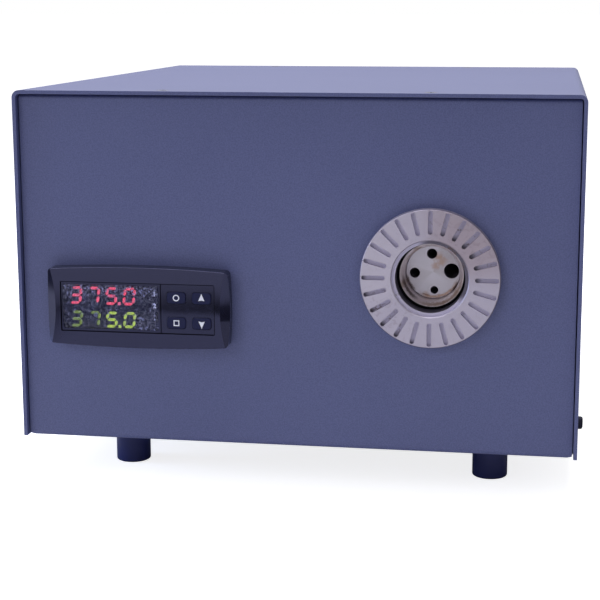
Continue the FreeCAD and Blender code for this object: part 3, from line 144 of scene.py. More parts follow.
def area_lamp(name, place, width, power, colour):
    """A square soft lamp that looks at the middle of the case."""
    data = bpy.data.lights.new(name, "AREA")
    data.size = width
    data.energy = power
    data.color = colour
    lamp = bpy.data.objects.new(name, data)
    lamp.location = place
    way = Vector(CASE_MIDDLE) - Vector(place)
    lamp.rotation_euler = way.to_track_quat("-Z", "Y").to_euler()
    bpy.context.scene.collection.objects.link(lamp)


for lamp_name, settings in LAMPS.items():
    area_lamp(lamp_name, *settings)
bpy.context.scene.view_settings.view_transform = "Standard"
print("lamps:", ", ".join(LAMPS))

# %% [markdown]
# Shader maths reads best as plain expressions. The class below wraps one output socket, so
# that adding or multiplying two of them adds the Math node. Everything else comes from its
# one method node, which takes the kind of node, its settings and what goes into its sockets.

# %% A small language for shader nodes


class Wire:
    """One output socket in a node tree; operators on it add Math nodes."""

    def __init__(self, tree, socket=None):
        self.tree = tree
        self.socket = socket

    def node(self, kind, settings=None, sockets=None, output=0):
        """Add a node: settings first, then values or wires into its sockets."""
        made = self.tree.nodes.new(kind)
        for name, value in (settings or {}).items():
            setattr(made, name, value)
        feed(made, sockets or {})
        return Wire(self.tree, made.outputs[output])

    def math(self, operation, *values):
        """A Math node on this and other values."""
        return self.node("ShaderNodeMath", {"operation": operation}, dict(enumerate(values)))

    def __add__(self, other):
        return self.math("ADD", self, other)

    def __sub__(self, other):
        return self.math("SUBTRACT", self, other)

    def __rsub__(self, other):
        return self.math("SUBTRACT", other, self)

    def __mul__(self, other):
        return self.math("MULTIPLY", self, other)

    def __truediv__(self, other):
        return self.math("DIVIDE", self, other)

    __radd__ = __add__
    __rmul__ = __mul__


def feed(node, sockets):
    """Put values or wires into a node's sockets."""
    for name, value in sockets.items():
        if isinstance(value, Wire):
            node.id_data.links.new(value.socket, node.inputs[name])
        else:
            node.inputs[name].default_value = value


def start(name):
    """A new material, its main shader and a wire to build on."""
    material = bpy.data.materials.new(name)
    material.use_nodes = True
    shader = material.node_tree.nodes["Principled BSDF"]
    return material, shader, Wire(material.node_tree)


print("a wire knows:", ", ".join(name for name in vars(Wire) if not name.startswith("__")))

# %% [markdown]
# Places and directions are vectors, and they go through Vector Math nodes. Patterns are laid
# out in millimetres in the object's own coordinates, so a grain of half a millimetre stays
# that size on every piece.

# %% Places in a shader


def vector_math(vector, operation, sockets=None, output=0):
    """A Vector Math node whose first input is the vector."""
    return vector.node("ShaderNodeVectorMath", {"operation": operation},
                       {0: vector, **(sockets or {})}, output)


def part(vector, axis):
    """One coordinate of a vector: X, Y or Z."""
    return vector.node("ShaderNodeSeparateXYZ", {}, {0: vector}, axis)


def unsigned(value):
    """A number without its sign."""
    return value.math("ABSOLUTE", value)


def moved(point, place):
    """A point counted from another place, both in one unit."""
    return vector_math(point, "SUBTRACT", {1: place})


def millimetres(wire, offset=(0.0, 0.0, 0.0)):
    """The shaded point in millimetres, counted from an offset in metres."""
    point = wire.node("ShaderNodeTexCoord", output="Object")
    return vector_math(moved(point, offset), "SCALE", {"Scale": 1 / MM})


def flattened(point):
    """The point without its depth, as a vector in the plane of the front."""
    return vector_math(point, "MULTIPLY", {1: (1.0, 0.0, 1.0)})


def length(vector):
    """How long a vector is."""
    return vector_math(vector, "LENGTH", output=1)


def depth_from(point, y_metres):
    """How far a point lies behind a plane, in millimetres."""
    return part(point, "Y") - y_metres / MM


print("one unit of a pattern is", MM, "m")

# %% [markdown]
# Colours are easiest to read off a photograph as screen values from 0 to 255, while a
# shader wants linear light. One function turns the first into the second. The others are
# the few patterns that every finish is made of: noise, a smooth step, a mix of two colours
# and a relief.

# %% Colours and patterns


def screen(red, green, blue):
    """A colour given as it looks on screen, as linear light."""
    def linear(value):
        share = value / 255.0
        return share / 12.92 if share <= 0.04045 else ((share + 0.055) / 1.055) ** 2.4
    return (linear(red), linear(green), linear(blue), 1.0)


def darker(colour, share):
    """A colour with less light."""
    return tuple(c * share for c in colour[:3]) + (1.0,)


NOISE_MIDDLE = 0.5


def grain(point, width, detail=2.0, distortion=0.0):
    """Noise from 0 to 1 whose features are about a width in millimetres."""
    return point.node("ShaderNodeTexNoise", {"normalize": True},
                      {"Vector": point, "Scale": 1.0 / width, "Detail": detail,
                       "Distortion": distortion})


def step(value, low, high):
    """A smooth step from 0 at low to 1 at high."""
    return value.node("ShaderNodeMapRange", {"interpolation_type": "SMOOTHSTEP"},
                      {"Value": value, "From Min": low, "From Max": high})


def blend(first, second, share):
    """Two colours mixed; share 0 gives the first."""
    return share.node("ShaderNodeMix", {"data_type": "RGBA"}, {0: share, 6: first, 7: second},
                      output=2)


def shares_of(whole, shares):
    """Several shares of one number."""
    return [share * whole for share in shares]


def relief(height, depth):
    """A surface normal from a height from 0 to 1 that spans a depth in millimetres."""
    return height.node("ShaderNodeBump", {}, {"Strength": 1.0, "Distance": depth * MM,
                                              "Height": height})


finishes = {}
print("middle grey as light:", round(screen(128, 128, 128)[0], 3))

# %% [markdown]
# Gloss faces show the room, so the room matters although the picture's ground is white. It
# is dark near the ground and light above, with a sharp border between, and it is dimmer
# toward both sides. The world gives this to glossy rays by their direction. To the camera and
# through glass it is plain white, and to all else it is the dim sky that lights the object.

# %% Fill the sky
SKY = 0.3
SKY_WHITE = (1.0, 1.0, 1.0, 1.0)
ROOM_DARK = 0.02
DARK_BELOW = -0.2
LIGHT_ABOVE = -0.184
ROOM_ASIDE = 0.6
ASIDE_FROM = 0.3
ASIDE_TO = 0.5


def ray_kind(wire, *kinds):
    """1 for the named kinds of ray, 0 for all others."""
    rays = [wire.node("ShaderNodeLightPath", output=kind) for kind in kinds]
    found = rays[0]
    for ray in rays[1:]:
        found = wire.math("MAXIMUM", found, ray)
    return found


world = bpy.data.worlds.new("white_room")
bpy.context.scene.world = world
world.use_nodes = True
sky = world.node_tree.nodes["Background"]
sky_wire = Wire(world.node_tree)
direction = sky_wire.node("ShaderNodeTexCoord", output="Generated")
aside = step(unsigned(part(direction, "X")), ASIDE_FROM, ASIDE_TO)
room = ROOM_DARK + step(part(direction, "Z"), DARK_BELOW, LIGHT_ABOVE) * (1.0 - ROOM_DARK)
room = room * (1.0 - aside * (1.0 - ROOM_ASIDE))
seen = ray_kind(sky_wire, "Is Camera Ray", "Is Transmission Ray")
mirrored = ray_kind(sky_wire, "Is Glossy Ray")
feed(sky, {"Color": SKY_WHITE,
           "Strength": SKY + seen * (1.0 - SKY) + mirrored * (room - SKY)})
print("sky filled with", len(world.node_tree.nodes), "nodes")

# %% [markdown]
# The table under the object is white, and it ends a forearm's length in front of it. The
# black controller mirrors the table in its lower half, then the dark part of the room, then
# the light part. In mirrors the table is a little darker than to the eye, and much darker in
# a band on each side of the object: the bezel's scooped ends show that as their dark part.
# To the camera the table glows enough to look white, and it keeps a faint shadow.

# %% Lay the table
TABLE_EDGE = 0.357
TABLE_SIZE = 40.0
TABLE_GLOW = 0.8
TABLE_PATCH = 400.0
TABLE_TONES = (screen(238, 238, 240), screen(246, 246, 247))
TABLE_MIRRORED = screen(62, 63, 78)
MIRROR_DIMS = 0.2
BAND_BEGINS = (180.0, 240.0)
BAND_ENDS = (390.0, 440.0)

edge_y = bezel_face_y - TABLE_EDGE
bpy.ops.mesh.primitive_plane_add(size=TABLE_SIZE, location=(0, edge_y + TABLE_SIZE / 2, 0))
table = bpy.context.object
table.name = "table"
table_material, shader, wire = start("white_table")
point = millimetres(wire)
far_out = unsigned(part(point, "X"))
band = step(far_out, *BAND_BEGINS) * (1.0 - step(far_out, *BAND_ENDS))
dimmed = ray_kind(wire, "Is Glossy Ray") * (MIRROR_DIMS + band * (1.0 - MIRROR_DIMS))
table_tone = blend(blend(*TABLE_TONES, grain(point, TABLE_PATCH)), TABLE_MIRRORED, dimmed)
feed(shader, {"Base Color": table_tone, "Roughness": 0.9, "Specular IOR Level": 0.0})
glow_strength = ray_kind(wire, "Is Camera Ray", "Is Transmission Ray") * TABLE_GLOW
glow = wire.node("ShaderNodeEmission", {}, {"Color": screen(255, 255, 255),
                                            "Strength": glow_strength})
lit_table = wire.node("ShaderNodeAddShader", {}, {0: Wire(wire.tree, shader.outputs[0]), 1: glow})
feed(table_material.node_tree.nodes["Material Output"], {"Surface": lit_table})
table.data.materials.append(table_material)
print("table laid, its edge at y =", round(edge_y, 3))

# %% [markdown]
# The case is powder coated: a baked paint with a fine orange peel, satin rather than gloss.
# Two sizes of noise make it. The fine one gives the peel as relief and a faint speckle, and
# the wide one lets the tone drift a little over the panel, as it does on a used case.

# %% Powder coat
PAINT = screen(66, 72, 119)
PAINT_LIGHT = screen(87, 93, 139)
PEEL = 0.5
PEEL_DEPTH = 0.03
PEEL_STEP = (0.3, 0.7)
PEEL_SHOWS = 0.7
PEEL_ROUGHENS = 0.12
DRIFT = 70.0
DRIFT_SHOWS = 0.3
PAINT_ROUGHNESS = 0.46


def powder_coat(name):
    """Satin paint with an orange peel."""
    material, shader, wire = start(name)
    point = millimetres(wire)
    peel = grain(point, PEEL, detail=1.5)
    drift = grain(point, DRIFT, detail=1.0)
    lighter = step(peel, *PEEL_STEP) * PEEL_SHOWS + drift * DRIFT_SHOWS
    feed(shader, {"Base Color": blend(PAINT, PAINT_LIGHT, lighter),
                  "Roughness": PAINT_ROUGHNESS + peel * PEEL_ROUGHENS,
                  "Specular IOR Level": 0.6, "Normal": relief(peel, PEEL_DEPTH)})
    return material


finishes["case_paint"] = powder_coat("case_paint")
print("paint peel of", PEEL, "mm")

# %% [markdown]
# Moulded plastics and rubbers differ in tone, gloss and the grain of their mould. One
# function takes those three and serves every plain moulding, and the ink on the keys too.
# A little dust lies on all of them, in patches much wider than the grain.

# %% Mouldings
DUST = 0.35
DUST_SHARE = 0.12
DUST_IN_PATCHES = 0.8
DUST_IN_GRAIN = 0.2
DUST_STEP = (0.45, 0.85)
PATCH_OF_GRAIN = 30.0
MOULD_UNEVEN = 0.12
# Colour and roughness, and where a moulding differs from the usual one also the width and
# the depth of its grain in millimetres, how dusty it is, and its sheen.
MOULDINGS = {
    "foot_rubber": (screen(44, 48, 98), 0.35, 0.5, 0.02, 0.1, 0.3),
    "fan_black": (screen(30, 30, 34), 0.5),
    "inlet_black": (screen(32, 32, 38), 0.45, 0.4, 0.012),
    "relay_grey": (screen(58, 60, 66), 0.55),
    "terminal_cream": (screen(226, 218, 194), 0.5),
    "display_dark": (screen(22, 22, 42), 0.5, 0.3, 0.01, 0.1, 0.1),
    "key_blue": (screen(20, 24, 62), 0.45, 0.3, 0.01, 0.1, 0.2),
    "key_print": (screen(222, 224, 238), 0.5, 0.3, 0.004, 0.3),
    "gasket_rubber": (screen(28, 28, 32), 0.8, 0.3, 0.05),
    "terminal_green": (screen(30, 120, 62), 0.45),
    "lead_sleeve": (screen(176, 70, 50), 0.7, 0.8, 0.1),
    "signal_sleeve": (screen(222, 220, 208), 0.6, 0.8, 0.06),
}


def moulding(name, colour, roughness, grain_size=0.6, depth=0.01, wear=0.25, sheen=0.5):
    """A moulded piece: a fine mould grain, a drift of tone and slightly uneven gloss."""
    material, shader, wire = start(name)
    point = millimetres(wire)
    fine = grain(point, grain_size)
    wide = grain(point, grain_size * PATCH_OF_GRAIN, detail=3.0)
    dusty = tuple(c + (DUST - c) * DUST_SHARE for c in colour[:3]) + (1.0,)
    settled = step(wide * DUST_IN_PATCHES + fine * DUST_IN_GRAIN, *DUST_STEP)
    feed(shader, {"Base Color": blend(colour, dusty, settled * wear),
                  "Roughness": roughness + (wide - NOISE_MIDDLE) * MOULD_UNEVEN,
                  "Specular IOR Level": sheen, "Normal": relief(fine, depth)})
    return material


for name, settings in MOULDINGS.items():
    finishes[name] = moulding(name, *settings)
print("mouldings:", len(MOULDINGS))

# %% [markdown]
# Wire, pins and screws are metal. Their colour hardly changes, but their gloss does:
# handling and rolling leave patches that scatter light more than the metal around them.

# %% Plain metals
METAL_PATCH = 6.0
METAL_SCRATCH = 0.25
METAL_DEPTH = 0.004
METAL_UNEVEN = 0.2
DULL = 0.7
DULL_STEP = (0.4, 0.8)
# Colour and roughness.
METALS = {
    "black_screw": (screen(40, 40, 52), 0.35),
    "steel_screw": (screen(196, 196, 200), 0.3),
    "heater_steel": (screen(150, 142, 134), 0.45),
    "guard_wire": (screen(214, 214, 220), 0.18),
    "pin_brass": (screen(206, 178, 118), 0.28),
}


def metal(name, colour, roughness):
    """A metal with uneven gloss and very fine scratches."""
    material, shader, wire = start(name)
    point = millimetres(wire)
    wide = grain(point, METAL_PATCH, detail=3.0)
    fine = grain(point, METAL_SCRATCH)
    feed(shader, {"Base Color": blend(colour, darker(colour, DULL), step(wide, *DULL_STEP)),
                  "Metallic": 1.0,
                  "Roughness": roughness + (wide - NOISE_MIDDLE) * METAL_UNEVEN,
                  "Normal": relief(fine, METAL_DEPTH)})
    return material


for name, settings in METALS.items():
    finishes[name] = metal(name, *settings)
print("plain metals:", len(METALS))

# %% [markdown]
# What is turned on a lathe has a pattern about its axis. Rings left by the tool are a noise
# that is read only along the radius. The fans of light and shade that turned faces show are
# painted into the colour as wedges about the axis: painted light and painted shade. They
# follow the angle between a point and a chosen side, which is given in degrees from the
# right, against the clock.

# %% Patterns about the well's axis
WEDGE_CORE = 0.2


def from_axis(wire, centre):
    """Distance from the well's axis and the point itself, in millimetres."""
    point = millimetres(wire, (centre.x, 0.0, centre.z))
    return length(flattened(point)), point


def facing(point, degrees):
    """The cosine between a point's direction from the axis and a chosen direction."""
    toward = (math.cos(math.radians(degrees)), 0.0, math.sin(math.radians(degrees)))
    way = vector_math(flattened(point), "NORMALIZE")
    return vector_math(way, "DOT_PRODUCT", {1: toward}, output=1)


def sector(point, degrees, half):
    """1 in the core of a wedge about the axis, falling to 0 at half its angle."""
    return step(facing(point, degrees), math.cos(math.radians(half)),
                math.cos(math.radians(half * WEDGE_CORE)))


def rings(radius, pitch):
    """Tool marks: noise that changes along the radius only."""
    return grain(radius.node("ShaderNodeCombineXYZ", {}, {"X": radius}), pitch)


print("plate of", round(plate_radius / MM, 1), "mm radius about the axis")

# %% [markdown]
# The plate round the well is turned aluminium. Its upper right carries painted shade, warm in
# tone, and its left painted light: the fans of light and shade of a turned face. The floors of
# the slots are bluish, scatter light and are painted lighter than the face, painted light
# against the shade in the slots. Painted shade with some grime darkens their lower left ends.
# Brown smears lie on two sides, where hands and drips reach it. The outer rim is darker than
# the face, and the wall of the bore is painted dark: painted shade deep in the hole.

# %% The plate's turned metal
TOOL_PITCH = 0.22
TOOL_DEPTH = 0.006
PLATE_CLOUD = 9.0
PLATE_TONES = (screen(168, 162, 182), screen(178, 172, 188))
PLATE_METALLIC = 0.9
PLATE_ROUGHNESS = 0.5
CLOUD_ROUGHENS = 0.1
# Painted shade, warm in tone, on the upper right and painted light on the left, as the fans of a
# turned face.
PLATE_PAINTED_SHADE = screen(154, 140, 150)
PAINTED_SHADE_SIDE = (48.0, 60.0)
PAINTED_SHADE_SHOWS = 0.7
PLATE_PAINTED_LIGHT = screen(184, 178, 194)
PAINTED_LIGHT_SIDE = (165.0, 60.0)
PAINTED_LIGHT_SHOWS = 0.6
# Slot floors: bluish, and painted lighter than the face, as painted light against the shade in the
# slots.
SLOT_TONE_AND_PAINTED_LIGHT = screen(188, 182, 208)
SLOT_DEPTHS = (0.5, 1.5)
SLOT_MIDDLE = 22.7
SLOT_LESS_METALLIC = 0.8
# Painted shade with some grime, at each slot's lower left end.
GRIME_AND_PAINTED_SHADE = screen(50, 44, 60)
GRIME_AND_SHADE_SIDE = 215.0
GRIME_AND_SHADE_BEGINS = (1.6, 4.4)
GRIME_AND_SHADE_SHOWS = 0.85
SMEAR = screen(84, 62, 60)
SMEAR_WIDTH = 2.2
SMEAR_STEP = (0.5, 0.7)
SMEAR_ALL_OVER = 0.06
SMEAR_ON_SIDES = 0.12
SMEAR_IN_SLOTS = 0.6
SMEARED_SIDES = [(50.0, 50.0), (222.0, 34.0)]
RIM_TONE = screen(96, 92, 116)
RIM_INSET = (0.4, 0.1)
RIM_SHOWS = 0.8
RIM_ROUGHENS = 0.2
# Painted shade on the wall of the bore.
BORE_PAINTED_SHADE = screen(34, 32, 52)
BORE_EDGE = (15.5, 16.5)
BORE_DEPTHS = (1.9, 3.0)


def turned_plate(name):
    """Turned aluminium with slots and smears, painted light and shade, and some grime."""
    material, shader, wire = start(name)
    radius, point = from_axis(wire, well_centre)
    depth = depth_from(point, plate_face_y)
    deep = step(depth, *SLOT_DEPTHS)
    bore = step(depth, *BORE_DEPTHS) * (1.0 - step(radius, *BORE_EDGE))
    rim = step(radius, *(plate_radius / MM - inset for inset in RIM_INSET))
    cloud = grain(point, PLATE_CLOUD, detail=3.0)
    smear = step(grain(point, SMEAR_WIDTH, detail=4.0, distortion=1.0), *SMEAR_STEP)
    used = sector(point, *SMEARED_SIDES[0]) + sector(point, *SMEARED_SIDES[1])
    toward_end = (radius - SLOT_MIDDLE) * facing(point, GRIME_AND_SHADE_SIDE)
    tone = blend(*PLATE_TONES, cloud)
    # Painted shade on the upper right and painted light on the left.
    tone = blend(tone, PLATE_PAINTED_SHADE, sector(point, *PAINTED_SHADE_SIDE) * PAINTED_SHADE_SHOWS)
    tone = blend(tone, PLATE_PAINTED_LIGHT, sector(point, *PAINTED_LIGHT_SIDE) * PAINTED_LIGHT_SHOWS)
    # Painted light: the slot floors are lighter than the face.
    tone = blend(tone, SLOT_TONE_AND_PAINTED_LIGHT, deep)
    # Painted shade with some grime at each slot's lower left end.
    tone = blend(tone, GRIME_AND_PAINTED_SHADE, deep * step(toward_end, *GRIME_AND_SHADE_BEGINS) * GRIME_AND_SHADE_SHOWS)
    on_sides = used * (SMEAR_ON_SIDES + deep * SMEAR_IN_SLOTS)
    tone = blend(tone, SMEAR, smear * (SMEAR_ALL_OVER + on_sides))
    tone = blend(tone, RIM_TONE, rim * RIM_SHOWS)
    # Painted shade on the wall of the bore, deep in the hole.
    tone = blend(tone, BORE_PAINTED_SHADE, bore)
    feed(shader, {"Base Color": tone, "Metallic": PLATE_METALLIC - deep * SLOT_LESS_METALLIC,
                  "Roughness": PLATE_ROUGHNESS + cloud * CLOUD_ROUGHENS + rim * RIM_ROUGHENS,
                  "Normal": relief(rings(radius, TOOL_PITCH), TOOL_DEPTH)})
    return material


finishes["plate_metal"] = turned_plate("plate_metal")
print("tool marks", TOOL_PITCH, "mm apart")

# %% [markdown]
# The block's nose and the insert have been hot many times. Heat and old oil leave brown
# crescents along their edges, darkest low on the left, and pale tarnish beside the bores.
# A stain is a distance from a chosen point and a crescent a distance from a chosen radius,
# kept in a wedge. Noise breaks both up, so that their edges are ragged. The nose's side wall,
# deep in the well, is painted dark: painted shade.

# %% Heat stained metal
HOT_PITCH = 0.3
HOT_DEPTH = 0.012
HOT_ROUGHNESS = 0.34
HOT_UNEVEN = 0.1
HOT_CLOUD = 4.0
HOT_CLOUDED = 0.3
# Each fan of painted shade: its side and half its angle in degrees, and how much it shows.
PAINTED_SHADE_FANS = [(25.0, 70.0, 0.5), (195.0, 40.0, 0.3)]
NOSE_SIDE = (12.83, 12.98)
NOSE_PAINTED_SHADE = screen(24, 22, 38)
SCORCH = screen(62, 36, 30)
TARNISH = screen(158, 130, 116)
STAIN_GRAIN = 1.4
STAIN_RAGGED = 1.2
STAIN_EDGE = (0.1, 1.1)
STAIN_SHOWS = 0.7
CRESCENT_GRAIN = 0.9
CRESCENT_RAGGED = 1.6
CRESCENT_EDGE = (0.2, 1.0)
CRESCENT_SHOWS = 0.85
# Each stain's x and z from the axis and its reach. Each crescent's radius and width, the
# side it lies on and half its angle in degrees, and its colour. Lengths are in millimetres.
INSERT_STAINS = [(1.8, 6.5, 2.6), (3.4, 4.6, 2.8), (0.8, 2.4, 2.2), (-2.8, -9.3, 1.6)]
INSERT_CRESCENTS = [(10.6, 0.7, 207.0, 24.0, SCORCH), (9.9, 0.5, 254.0, 12.0, SCORCH),
                    (10.3, 0.9, 290.0, 60.0, TARNISH), (10.7, 0.6, 326.0, 16.0, SCORCH)]
NOSE_STAINS = [(-11.2, -3.8, 2.0), (9.8, -7.0, 2.2), (-6.0, 10.6, 2.4)]
NOSE_CRESCENTS = [(11.7, 0.6, 212.0, 34.0, SCORCH), (12.2, 0.8, 300.0, 70.0, TARNISH),
                  (11.6, 0.4, 132.0, 26.0, TARNISH)]
# Two tones, how metallic it looks, its stains and its crescents.
HOT_METALS = {
    "block_metal": (screen(226, 214, 222), screen(196, 182, 190), 0.2, NOSE_STAINS,
                    NOSE_CRESCENTS),
    "insert_metal": (screen(186, 182, 196), screen(154, 146, 154), 0.85, INSERT_STAINS,
                     INSERT_CRESCENTS),
}


def ragged(point, width, share):
    """Noise about 0, to be added to a distance so that an edge there is ragged."""
    return (grain(point, width, detail=3.0) - NOISE_MIDDLE) * share


def stain(point, x, z, reach):
    """A ragged round stain about a point given in millimetres from the axis."""
    away = length(flattened(moved(point, (x, 0.0, z)))) / reach
    return 1.0 - step(away + ragged(point, STAIN_GRAIN, STAIN_RAGGED), *STAIN_EDGE)


def crescent(point, radius, at, width, degrees, half):
    """A ragged arc about the axis: a band at a radius, kept inside a wedge."""
    off = unsigned(radius - at) / width + ragged(point, CRESCENT_GRAIN, CRESCENT_RAGGED)
    return (1.0 - step(off, *CRESCENT_EDGE)) * sector(point, degrees, half)


def hot_metal(name, tone, shade, metallic, stains, crescents):
    """Turned metal with fans of painted shade, tarnish, scorched edges and a side wall painted
    dark as shade.
    """
    material, shader, wire = start(name)
    radius, point = from_axis(wire, well_centre)
    cloud = grain(point, HOT_CLOUD, detail=3.0)
    # Painted shade: wedges of shade stand in for the fans of light on a turned face.
    fans = [sector(point, side, half) * share for side, half, share in PAINTED_SHADE_FANS]
    colour = blend(tone, shade, sum(fans, cloud * HOT_CLOUDED))
    for x, z, reach in stains:
        colour = blend(colour, TARNISH, stain(point, x, z, reach) * STAIN_SHOWS)
    for at, width, side, half, burnt in crescents:
        arc = crescent(point, radius, at, width, side, half)
        colour = blend(colour, burnt, arc * CRESCENT_SHOWS)
    # Painted shade: the nose's side wall, deep in the well, is painted dark.
    colour = blend(colour, NOSE_PAINTED_SHADE, step(radius, *NOSE_SIDE))
    feed(shader, {"Base Color": colour, "Metallic": metallic,
                  "Roughness": HOT_ROUGHNESS + cloud * HOT_UNEVEN,
                  "Normal": relief(rings(radius, HOT_PITCH), HOT_DEPTH)})
    return material


for name, settings in HOT_METALS.items():
    finishes[name] = hot_metal(name, *settings)
print("stains on the insert:", len(INSERT_STAINS) + len(INSERT_CRESCENTS))

# %% [markdown]
# The controller is gloss black plastic. A gloss moulding has almost no grain: what shows is
# a long soft waviness in its reflections and the dust and small scratches of use. Its
# reflections are bluish, as the whole photograph is, which is what the specular tint gives.
# The seam across the fascia and the joint round it are too narrow to mirror anything, so
# there a matt black is laid over the gloss.

# %% Gloss black
GLOSS_TINT = (0.5, 0.52, 1.0, 1.0)
GLOSS_BASE = screen(22, 22, 34)
GLOSS_DUST = screen(66, 68, 92)
SPECK_WIDTH = 0.5
SPECK_STEP = (0.64, 0.8)
SPECK_SHOWS = 0.3
SPECK_ROUGHENS = 0.1
SCRATCH_WIDTH = 2.5
SCRATCH_STEP = (0.5, 0.75)
SCRATCH_ROUGHENS = 0.03
GLOSS_WAVES = 9.0
GLOSS_DEPTH = 0.01
JOINT_WIDTH = 0.35
SEAM_DEPTHS = (0.1, 0.2)
JOINT_TONES = (screen(8, 8, 14), screen(16, 16, 26))
JOINT_GRAIN = 0.8


def gloss_black(name, roughness, sheen):
    """Black plastic with a mirror gloss, a little dusty."""
    material, shader, wire = start(name)
    point = millimetres(wire)
    dust = step(grain(point, SPECK_WIDTH, detail=3.0), *SPECK_STEP)
    scratch = step(grain(point, SCRATCH_WIDTH, detail=4.0, distortion=2.0), *SCRATCH_STEP)
    feed(shader, {"Base Color": blend(GLOSS_BASE, GLOSS_DUST, dust * SPECK_SHOWS),
                  "Roughness": roughness + scratch * SCRATCH_ROUGHENS + dust * SPECK_ROUGHENS,
                  "Specular IOR Level": sheen, "Specular Tint": GLOSS_TINT,
                  "Normal": relief(grain(point, GLOSS_WAVES, detail=1.0), GLOSS_DEPTH)})
    return material, shader, wire


def lay_over(material, shader, second, share):
    """Cover a material's main shader with a second one where the share is 1."""
    first = Wire(material.node_tree, shader.outputs[0])
    both = share.node("ShaderNodeMixShader", {}, {0: share, 1: first, 2: second})
    feed(material.node_tree.nodes["Material Output"], {"Surface": both})


def grooved_fascia(name):
    """The fascia's gloss, with matt black in its seam and in the joint round its edge."""
    material, shader, wire = gloss_black(name, 0.05, 0.75)
    half = size("controller_fascia") / (2 * MM)
    point = millimetres(wire, tuple(fascia_centre))
    beyond = wire.math("MAXIMUM", unsigned(part(point, "X")) - half.x,
                       unsigned(part(point, "Z")) - half.z)
    sunk = part(point, "Y") + half.y
    joint = wire.math("MAXIMUM", step(beyond, -JOINT_WIDTH, -JOINT_WIDTH / 2),
                      step(sunk, *SEAM_DEPTHS))
    matt = wire.node("ShaderNodeBsdfPrincipled", {},
                     {"Base Color": blend(*JOINT_TONES, grain(point, JOINT_GRAIN)),
                      "Roughness": 0.9, "Specular IOR Level": 0.1})
    lay_over(material, shader, matt, joint)
    return material


finishes["bezel_black"] = gloss_black("bezel_black", 0.04, 0.85)[0]
finishes["fascia_black"] = grooved_fascia("fascia_black")
print("joint round the fascia:", JOINT_WIDTH, "mm")

# %% [markdown]
# The display's pane is clear, but the protective film under it has gone milky. It is full of
# fine pale specks and the rims of small blisters, densest along the upper edge and low on the
# right, and it has one larger blot. Noise and the borders of cells make these, and they
# choose between the glass and a matt film. The fuse's glass has no film.

# %% Panes
GLASS = screen(224, 226, 236)
GLASS_IOR = 1.2
GLASS_ROUGHNESS = 0.02
GLASS_WAVES = 5.0
GLASS_DEPTH = 0.01
HAZE_WIDTH = 3.0
HAZE_STEP = (0.4, 0.8)
HAZE_ROUGHENS = 0.06
FILM_TONES = (screen(96, 100, 150), screen(150, 154, 196))
FILM_COVER = 0.75
FILM_THIN = 0.03
FILM_SPECKLED = 0.6
FILM_ALL_OVER = 0.2
FILM_IN_UPPER = 0.6
FILM_IN_LOWER_RIGHT = 0.4
FILM_IN_PATCHES = 0.3
# The film's milky parts, as shares of half the pane's height or width from its middle.
UPPER_PART = (0.1, 0.9)
LOWER_PART = (0.0, -0.7)
RIGHT_PART = (0.2, 0.8)
FILM_PATCH = 3.2
PATCH_STEP = (0.42, 0.64)
BLISTERS = 0.62
BLISTER_RIM = (0.03, 0.16)
BLISTER_PATCH = 2.0
BLISTER_STEP = (0.5, 0.6)
SPECKS = 0.75
SPECKS_STEP = (0.54, 0.64)
BLOT = (-6.4, 0.0, -3.2)
BLOT_EDGE = (0.5, 1.3)
BLOT_SHOWS = 0.45


def clear_glass(name):
    """A clear pane, a little hazy from wiping."""
    material, shader, wire = start(name)
    point = millimetres(wire)
    haze = step(grain(point, HAZE_WIDTH, detail=4.0), *HAZE_STEP)
    feed(shader, {"Base Color": GLASS, "Transmission Weight": 1.0, "IOR": GLASS_IOR,
                  "Roughness": GLASS_ROUGHNESS + haze * HAZE_ROUGHENS,
                  "Normal": relief(grain(point, GLASS_WAVES), GLASS_DEPTH)})
    return material, shader, wire


def milky_window(name):
    """The display's pane with the film behind it."""
    material, shader, wire = clear_glass(name)
    half = size("display_window") / (2 * MM)
    point = millimetres(wire, tuple(middle("display_window")))
    across, height = part(point, "X"), part(point, "Z")
    upper = step(height, *shares_of(half.z, UPPER_PART))
    lower = step(height, *shares_of(half.z, LOWER_PART))
    right = step(across, *shares_of(half.x, RIGHT_PART))
    patches = step(grain(point, FILM_PATCH, detail=3.0), *PATCH_STEP)
    borders = wire.node("ShaderNodeTexVoronoi", {"feature": "DISTANCE_TO_EDGE"},
                        {"Vector": flattened(point), "Scale": BLISTERS})
    blistered = step(grain(point, BLISTER_PATCH), *BLISTER_STEP)
    rims = (1.0 - step(borders, *BLISTER_RIM)) * blistered
    specks = step(grain(point, SPECKS), *SPECKS_STEP)
    blot = 1.0 - step(length(flattened(moved(point, BLOT))), *BLOT_EDGE)
    busy = (FILM_ALL_OVER + upper * FILM_IN_UPPER + lower * right * FILM_IN_LOWER_RIGHT
            + patches * FILM_IN_PATCHES)
    milky = FILM_THIN + (specks + rims) * FILM_SPECKLED * busy + blot * BLOT_SHOWS
    film = wire.node("ShaderNodeBsdfPrincipled", {},
                     {"Base Color": blend(*FILM_TONES, specks), "Roughness": 0.5,
                      "Specular IOR Level": 0.2})
    lay_over(material, shader, film, milky * FILM_COVER)
    return material


finishes["fuse_glass"] = clear_glass("fuse_glass")[0]
finishes["window_clear"] = milky_window("window_clear")
print("panes: fuse and display")

# %% [markdown]
# The digits are bars of light. A lamp behind a bar is brightest at its middle, so the light
# follows a soft noise rather than one value. On the lower row the first two digits are
# dimmer than the rest, so there the light also follows the place along the row.

# %% Lit bars
LIT_PATCH = 0.9
LIT_STEP = (0.3, 0.75)
UNLIT = (0.02, 0.02, 0.02, 1.0)
DIM_PART = (0.4, 0.56)
